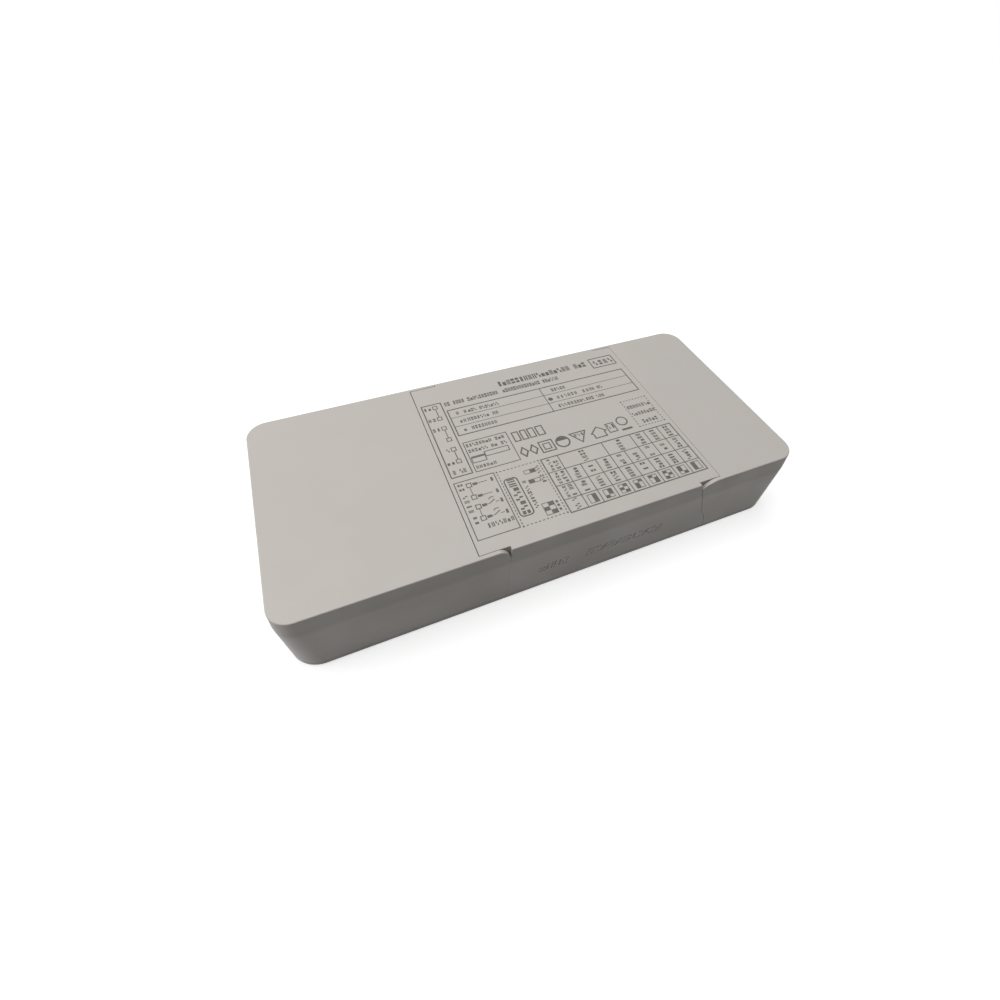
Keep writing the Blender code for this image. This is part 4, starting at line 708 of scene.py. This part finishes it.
def outline(points, width=labelPrint["line"], closed=True):
    for a, b in zip(points, points[1:] + points[:1] if closed else points[1:]):
        stroke(*a, *b, width)


def frameBox(x0, y0, x1, y1, width=labelPrint["line"]):
    outline([(x0, y0), (x1, y0), (x1, y1), (x0, y1)], width)


def patch(x0, y0, x1, y1):
    stroke(x0, (y0 + y1) / 2, x1, (y0 + y1) / 2, y1 - y0, cap=False)


def roundFrame(x0, y0, x1, y1, radius, width):
    points = []
    steps = labelPrint["cornerSteps"]
    for quarter, (x, y) in enumerate(((x1, y1), (x0, y1), (x0, y0), (x1, y0))):
        inX, inY = x - math.copysign(radius, x - x0 - radius), y - math.copysign(radius, y - y0 - radius)
        turns = [math.pi / 2 * (quarter + step / steps) for step in range(steps + 1)]
        points += [(inX + radius * math.cos(t), inY + radius * math.sin(t)) for t in turns]
    outline(points, width)


def circle(x, y, radius, width, steps=24):
    turns = [2 * math.pi * i / steps for i in range(steps)]
    outline([(x + radius * math.cos(t), y + radius * math.sin(t)) for t in turns], width)


def word(x0, x1, y, height, size="small"):
    words[size].append(((x0, y), (x1, y), height))


def upright(x, y0, y1, height, size="small"):
    words[size].append(((x, y0), (x, y1), height))


def dashedBox(x0, y0, x1, y1):
    for a, b in (((x0, y0), (x1, y0)), ((x0, y1), (x1, y1)), ((x0, y0), (x0, y1)), ((x1, y0), (x1, y1))):
        words["dashes"].append((a, b, labelPrint["line"]))


def checker(x, y, width, height, rights):  # which half of each row is filled, from the top down
    frameBox(x, y, x + width, y + height, labelPrint["fine"])
    step = height / len(rights)
    for row, right in enumerate(rights):
        top = y + height - row * step
        left = x + width / 2 if right else x
        patch(left, top - step * labelPrint["reach"], left + width / 2, top)


def drawTerminalLinks():
    frameBox(-25.8, -6.8, -19.4, 25.2, labelPrint["bold"])
    for top, low in ((23.5, 18.1), (13.5, 8.3), (4.0, -1.1)):
        for y in (top, low):
            frameBox(-22.4, y - 0.7, -21.0, y + 0.7)
            word(-24.9, -23.5, y - 0.1, 1.4)
        stroke(-21.7, top - 0.9, -21.7, low + 0.9)
    word(-24.4, -21.2, -5.0, 1.7)


def drawRatings():
    frameBox(-18.4, 8.8, 47.1, 20.8, labelPrint["bold"])
    for y in (16.95, 12.8):
        stroke(-18.4, y, 47.1, y, labelPrint["fine"])
    stroke(14.4, 8.8, 14.4, 20.8)
    for x0, x1, y in ((-15.6, -13.0, 18.7), (-11.6, -1.8, 18.7), (-15.6, -14.4, 14.8), (-13.0, -3.4, 14.8),
                      (-15.6, -14.4, 10.8), (-13.0, -5.4, 10.8), (17.4, 22.8, 18.7), (18.8, 20.2, 14.6),
                      (21.6, 25.4, 14.7), (28.5, 29.9, 14.6), (31.1, 35.2, 14.7), (17.4, 22.0, 10.6),
                      (23.2, 26.4, 10.5), (27.7, 33.8, 10.6)):
        word(x0, x1, y, 1.45)
    circle(15.9, 14.6, 0.6, labelPrint["bold"], steps=12)
    patch(15.4, 14.1, 16.4, 15.1)


def drawHeading():
    word(2.6, 35.2, 27.6, 2.5, "large")
    word(2.6, 22.6, 23.9, 1.8)
    word(-18.0, 0.0, 23.9, 1.8)
    frameBox(37.9, 24.4, 47.2, 29.4, labelPrint["bold"])
    word(39.7, 45.8, 26.8, 2.4, "large")


def drawWireStrip():
    frameBox(-18.3, -6.9, -4.2, 5.4)
    word(-17.4, -5.8, 3.9, 1.3)
    word(-17.4, -5.8, 1.5, 1.3)
    patch(-17.8, -1.6, -13.5, -0.8)
    frameBox(-13.4, -2.0, -5.7, -0.1)
    outline([(-17.9, -1.2), (-17.9, -3.4), (-13.6, -3.4), (-13.6, -1.2)], closed=False)
    word(-17.3, -11.8, -5.3, 1.2)


def drawLargeSigns():  # open frames in the place of a large word
    for x0, x1 in ((-2.7, -0.8), (0.0, 1.7), (2.5, 4.4), (5.3, 7.5)):
        frameBox(x0, 0.4, x1, 4.3, labelPrint["sign"])


def drawMarks():
    sign, inner, ring = labelPrint["sign"], labelPrint["inner"], labelPrint["ring"]
    for x in (-1.9, 1.3):
        outline([(x - 1.2, -4.5), (x, -2.6), (x + 1.2, -4.5), (x, -6.4)], ring)
    frameBox(3.5, -6.8, 7.9, -2.4, sign)
    frameBox(4.6, -5.8, 6.8, -3.5, inner)
    circle(11.1, -4.6, 2.15, ring)
    for y, half in ((-3.0, 1.3), (-3.4, 1.6), (-3.8, 1.8)):
        stroke(11.1 - half, y, 11.1 + half, y, sign)
    outline([(14.3, -2.5), (19.8, -2.5), (17.1, -6.9)], sign)
    word(15.9, 18.3, -3.6, 1.1)
    outline([(23.9, -2.5), (26.4, -4.8), (25.7, -5.0), (25.7, -7.0), (21.7, -7.0), (21.7, -5.1),
             (21.1, -4.9)], sign)
    frameBox(27.2, -6.3, 30.0, -2.5, inner)
    word(27.9, 29.4, -3.9, 1.9)
    circle(33.3, -2.9, 1.8, sign)
    patch(31.4, -7.0, 35.2, -6.2)


def drawOutputBox():
    dashedBox(37.7, -7.2, 47.1, 5.1)
    word(38.7, 46.4, 1.8, 1.5)
    word(38.7, 46.4, -1.6, 1.5)
    word(40.3, 45.0, -5.4, 1.6)


def drawWiring():
    frameBox(-25.9, -29.3, -13.8, -8.9)
    for row, y in enumerate((-10.9, -15.4, -18.9, -23.0)):
        upright(-24.4, y - 0.9, y + 0.8, 1.5)
        frameBox(-22.7, y - 0.7, -21.3, y + 0.7)
        patch(-20.9, y - 0.45, -19.5, y + 0.45)
        if row < 2:
            stroke(-19.5, y, -16.6, y, labelPrint["fine"])
        else:                                             # a push button in the line
            stroke(-19.5, y, -18.5, y, labelPrint["fine"])
            stroke(-18.3, y + 0.2, -17.0, y + 0.9)
            outline([(-18.4, y + 1.5), (-17.8, y + 1.9), (-17.0, y + 1.9)], closed=False)
            stroke(-16.8, y, -15.9, y, labelPrint["fine"])
        patch(-15.4, y - 0.7, -14.7, y + 0.7)
    for low, high in ((-14.5, -11.8), (-22.1, -19.8)):
        stroke(-22.0, low, -22.0, high, labelPrint["fine"])
    word(-21.4, -14.6, -25.8, 1.5)


def drawSwitchBox():
    dashedBox(-12.9, -29.4, 0.4, -9.2)
    roundFrame(-12.2, -26.4, -8.2, -12.6, 1.1, labelPrint["bold"])
    upright(-10.2, -25.3, -13.5, 2.3, "large")
    upright(-6.7, -24.6, -14.2, 1.1)
    for y, on in ((-12.1, 1), (-15.8, 0)):
        frameBox(-5.3, y - 0.65, -1.8, y + 0.65, labelPrint["fine"])
        patch(-3.55 if on else -5.3, y - 0.65, -1.8 if on else -3.55, y + 0.65)
        upright(-0.9, y - 1.2, y + 0.9, 1.2)
    checker(-5.3, -28.4, 3.5, 4.1, (1, 0, 1))
    for y in (-27.6, -26.2, -24.9):
        patch(-1.2, y - 0.4, -0.5, y + 0.4)


def drawCurrentTable():
    columns = [6.8 + 5.1 * i for i in range(9)]
    rows = (-9.2, -14.8, -20.1, -25.3, -29.9)
    frameBox(1.3, rows[-1], columns[-1], rows[0], labelPrint["bold"])
    for y in rows[1:-1]:
        stroke(1.3, y, columns[-1], y)
    for i, x in enumerate(columns[:-1]):
        top = rows[1] if i in (1, 2, 4) else rows[0]
        stroke(x, rows[-1], x, top)
    for top, low in zip(rows[:3], rows[1:4]):             # heads of the rows
        upright(3.3, low + 0.9, top - 0.9, 1.0)
        upright(5.2, low + 0.9, top - 0.9, 1.4)
    upright(4.2, rows[4] + 0.9, rows[3] - 0.7, 1.6)
    for x in (14.5, 27.3, 34.95, 40.05, 45.15):
        upright(x, -13.9, -10.2, 1.7)
    for i, left in enumerate(columns[:-1]):
        middle = left + 2.55
        short = 0.7 if i in (1, 6) else 0.0
        upright(middle, -19.1 + short, -15.9 - short, 1.6)
        upright(middle, -24.3, -21.2, 1.7)
        checker(left + 1.3, -29.1, 2.7, 3.0, [1 - (i >> bit & 1) for bit in (2, 1, 0)])


for draw in (drawTerminalLinks, drawRatings, drawHeading, drawWireStrip, drawLargeSigns, drawMarks,
             drawOutputBox, drawWiring, drawSwitchBox, drawCurrentTable):
    draw()


def strokeMesh(items):
    mesh = bpy.data.meshes.new("strokes")
    mesh.from_pydata([(x * mm, y * mm, 0) for x, y, run, wide in items], [], [])
    run = mesh.attributes.new("run", "FLOAT_VECTOR", "POINT")
    run.data.foreach_set("vector", [c * mm for item in items for c in item[2]])
    wide = mesh.attributes.new("wide", "FLOAT", "POINT")
    wide.data.foreach_set("value", [item[3] * mm for item in items])
    return mesh


def rowMesh(items):
    mesh = bpy.data.meshes.new("rows")
    ends = [(x * mm, y * mm, 0) for a, b, height in items for x, y in (a, b)]
    mesh.from_pydata(ends, [(i, i + 1) for i in range(0, len(ends), 2)], [])
    tall = mesh.attributes.new("tall", "FLOAT", "POINT")
    tall.data.foreach_set("value", [items[i // 2][2] * mm for i in range(len(ends))])
    return mesh


def printed(name, meshes, place, ink):  # one thin piece from several grown meshes
    shape = bmesh.new()
    for mesh in meshes:
        shape.from_mesh(mesh)
    bmesh.ops.transform(shape, matrix=place, verts=shape.verts)
    joined = bpy.data.meshes.new(name)
    shape.to_mesh(joined)
    shape.free()
    joined.materials.clear()
    joined.materials.append(ink)
    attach(linked(name, joined), "driver")


inkValues = {"Thickness": labelPrint["thickness"] * mm, "Unevenness": labelPrint["unevenness"] * mm,
             "Seed": labelPrint["seed"], "Material": finishes["label_ink"]}


def growRows(items, look, tree):
    values = {name: value for name, value in look.items() if name != "Pitch"}
    return grow("rows", rowMesh(items), tree, {**inkValues, **values, "Pitch": look["Pitch"] * mm})


labelMeshes = [grow("strokes", strokeMesh(strokes), strokeTree, inkValues)]
for size, items in words.items():
    labelMeshes.append(growRows(items, labelPrint[size], barTree if size == "dashes" else rowTree))
printLevel = (caseTop - labelPrint["thickness"] / 2) * mm
printed("label_print", labelMeshes, Matrix.Translation((0, 0, printLevel)), finishes["label_ink"])
print("label printed:", len(strokes), "strokes")


# faint dots of ink on the near wall, in two groups

wallMarks = {
    "level": 8.7, "height": 2.5, "width": 1.45, "step": 2.36, "slant": 0.3, "dot": 0.46,
    "starts": (-9.4, 5.9), "counts": (4, 11), "seed": 5,
    "dots": {"Pitch": 0.50, "Gap Share": 0.08, "Narrow": 0.80, "Wide": 0.90},
}
markCorners = {"a": (0, 0), "b": (1, 0), "c": (0, 0.5), "d": (1, 0.5), "e": (0, 1), "f": (1, 1)}
markShapes = (("ab", "cd", "ef"), ("ad", "cf"), ("ae", "bf"), ("ab", "ef"), ("ab", "cd", "ef"))


def dotRows(setup):  # each mark is two or three dotted lines side by side in a leaning frame
    chance = random.Random(setup["seed"])
    rows = []
    for start, count in zip(setup["starts"], setup["counts"]):
        for i in range(count):
            for ends in chance.choice(markShapes):
                line = []
                for x, y in (markCorners[corner] for corner in ends):
                    across = start + i * setup["step"] + x * setup["width"] + y * setup["slant"]
                    line.append((across, setup["level"] + y * setup["height"]))
                rows.append((*line, setup["dot"]))
    return rows


def nearWall():  # stands a drawing up against the leaning wall
    lean = math.atan2(shellForm["sideDraft"], caseTop - shellForm["straight"])
    foot = Matrix.Translation((0, (shellForm["sideDraft"] - halfY) * mm, 0))
    return foot @ Matrix.Rotation(math.pi / 2 + lean, 4, "X")


dots = growRows(dotRows(wallMarks), wallMarks["dots"], barTree)
printed("wall_marks", [dots], nearWall(), finishes["mark_ink"])
print("wall marked")


# screws

screwShape = {
    "head": ((0, 1.7), (0.69, 1.68), (1.5525, 1.56), (2.15, 1.2), (2.52, 0.75), (2.6, 0.55),
             (2.6, 0.08), (2.52, 0)),                          # radius and level down the head
    "height": 1.7, "recess": 1.25, "slot": 0.62, "deep": 0.9, "sides": 32,
    "shank": 1.3, "length": 5.2, "pitch": 0.5, "root": 1.02, "threadTop": 0.3, "tip": 0.9, "point": 0.6,
}


def screwMesh():  # pan head with a cross recess, threaded shank, head resting at the origin
    s = screwShape
    profile = [*s["head"], (s["shank"], 0)]
    z = -s["threadTop"]
    while z > s["tip"] - s["length"]:
        profile += [(s["root"], z), (s["shank"], z - s["pitch"] / 2)]
        z -= s["pitch"]
    profile += [(s["point"], -s["length"]), (0, -s["length"])]
    shape = bmesh.new()
    rings = []
    for radius, level in profile:
        count = 1 if radius == 0 else s["sides"]
        rings.append([shape.verts.new((radius * math.cos(2 * math.pi * i / count) * mm,
                                       radius * math.sin(2 * math.pi * i / count) * mm, level * mm))
                      for i in range(count)])
    for upper, under in zip(rings, rings[1:]):
        for i in range(s["sides"]):
            j = (i + 1) % s["sides"]
            if len(upper) == 1:
                shape.faces.new((upper[0], under[i], under[j]))
            elif len(under) == 1:
                shape.faces.new((upper[i], under[0], upper[j]))
            else:
                shape.faces.new((upper[i], under[i], under[j], upper[j]))
    bmesh.ops.recalc_face_normals(shape, faces=shape.faces)
    mesh = bpy.data.meshes.new("screw")
    shape.to_mesh(mesh)
    shape.free()
    body = linked("screwBody", mesh)
    for long, short in ((s["recess"], s["slot"] / 2), (s["slot"] / 2, s["recess"])):
        bar = [(-long, -short), (long, -short), (long, short), (-long, short)]
        combine(body, slab(bar, "Z", s["height"] - s["deep"], s["height"] + 1), "DIFFERENCE")   # 1 mm clear
    result = body.data
    bpy.data.objects.remove(body)
    result.materials.clear()
    result.materials.append(finishes["zinc_plated_steel"])
    result.shade_smooth()
    result.set_sharp_from_angle(angle=skinSetup["sharp"])
    return result


def makeScrewTree():  # the same screw at each point, each turned by its own amount
    tree, start, end = newTree("screwRow", {"Screw": "Object", "Seed": "Int", "Material": "Material"})
    shape = add(tree, "GeometryNodeObjectInfo", {"Object": start.outputs["Screw"]})
    spin = add(tree, "ShaderNodeCombineXYZ", {2: chanceOf(tree, start.outputs["Seed"], high=math.pi)})
    placed = add(tree, "GeometryNodeInstanceOnPoints", {"Points": start.outputs["Geometry"],
                 "Instance": shape.outputs["Geometry"], "Rotation": spin.outputs[0]})
    closeTree(tree, start, end, placed.outputs[0])
    return tree


def screwPlace(name):
    low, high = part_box(name)
    return ((low.x + high.x) / 2, (low.y + high.y) / 2, high.z - screwShape["height"] * mm)


def finishPiece(name, mesh, body, replaced):
    piece = linked(name, mesh)
    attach(piece, body)
    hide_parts(*replaced)
    return piece


oneScrew = linked("oneScrew", screwMesh())
places = bpy.data.meshes.new("screwPlaces")
places.from_pydata([screwPlace(name) for name in screwNodes], [], [])
screwMeshes = grow("screws", places, makeScrewTree(), {"Screw": oneScrew, "Seed": 5,
                   "Material": finishes["zinc_plated_steel"]})
finishPiece("screws", screwMeshes, "driver", screwNodes)
sideways = oneScrew.data.copy()
low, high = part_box("transistor_screw")
seat = Matrix.Translation(((low.x + high.x) / 2, low.y + screwShape["height"] * mm, (low.z + high.z) / 2))
sideways.transform(seat @ Matrix.Rotation(math.pi / 2, 4, "X"))
finishPiece("transistor_screw_skin", sideways, "driver", ["transistor_screw"])
bpy.data.objects.remove(oneScrew)
print("screws made")


# floor, backdrop and light

studio = {
    "floorSize": 2.0, "glow": 0.68, "shown": 0.56, "floorShade": 0.237, "world": 0.12,
    "lamps": (("overhead", (0.05, 0.45, 2.3), 2.0, 38.4),                 # place, size and power
              ("leftWindow", (-0.50, 0.13, 0.34), 0.40, 1.70)),
}


def seenDirectly(tree):  # 1 for rays that show the floor or backdrop themselves
    path = add(tree, "ShaderNodeLightPath")
    direct = maths(tree, "MAXIMUM", path.outputs["Is Camera Ray"], path.outputs["Is Glossy Ray"])
    return maths(tree, "MAXIMUM", direct, path.outputs["Is Transmission Ray"])


def makeFloor():
    mesh = bpy.data.meshes.new("floor")
    half = studio["floorSize"] / 2
    corners = [(-half, -half, 0), (half, -half, 0), (half, half, 0), (-half, half, 0)]
    mesh.from_pydata(corners, [], [(0, 1, 2, 3)])
    floor = linked("floor", mesh)
    made = bpy.data.materials.new("floor")
    made.use_nodes = True
    tree = made.node_tree
    tree.nodes.remove(tree.nodes["Principled BSDF"])
    bright = studio["shown"]
    lit = add(tree, "ShaderNodeBsdfDiffuse", {"Color": (bright, bright, bright, 1)}).outputs[0]
    glow = add(tree, "ShaderNodeEmission", {"Color": (1, 1, 1, 1), "Strength": studio["glow"]}).outputs[0]
    shown = add(tree, "ShaderNodeAddShader", {0: lit, 1: glow}).outputs[0]
    shade = studio["floorShade"]
    bounce = add(tree, "ShaderNodeBsdfDiffuse", {"Color": (shade, shade, shade, 1)}).outputs[0]
    front = add(tree, "ShaderNodeMixShader", {0: seenDirectly(tree), 1: bounce, 2: shown}).outputs[0]
    clear = add(tree, "ShaderNodeBsdfTransparent").outputs[0]
    back = add(tree, "ShaderNodeNewGeometry").outputs["Backfacing"]
    both = add(tree, "ShaderNodeMixShader", {0: back, 1: front, 2: clear}).outputs[0]
    tree.links.new(both, tree.nodes["Material Output"].inputs["Surface"])
    mesh.materials.append(made)


def makeWorld():
    world = bpy.data.worlds.new("studio")
    world.use_nodes = True
    tree = world.node_tree
    dim = add(tree, "ShaderNodeBackground", {"Color": (1, 1, 1, 1), "Strength": studio["world"]}).outputs[0]
    white = add(tree, "ShaderNodeBackground", {"Color": (1, 1, 1, 1), "Strength": 1.0}).outputs[0]
    both = add(tree, "ShaderNodeMixShader", {0: seenDirectly(tree), 1: dim, 2: white}).outputs[0]
    tree.links.new(both, tree.nodes["World Output"].inputs["Surface"])
    bpy.context.scene.world = world


def makeLamps():
    for name, place, size, power in studio["lamps"]:
        lamp = bpy.data.lights.new(name, "AREA")
        lamp.size = size
        lamp.energy = power
        holder = bpy.data.objects.new(name, lamp)
        holder.location = place
        holder.rotation_euler = (-Vector(place)).to_track_quat("-Z", "Y").to_euler()
        bpy.context.scene.collection.objects.link(holder)


makeFloor()
makeWorld()
makeLamps()
print("studio made")
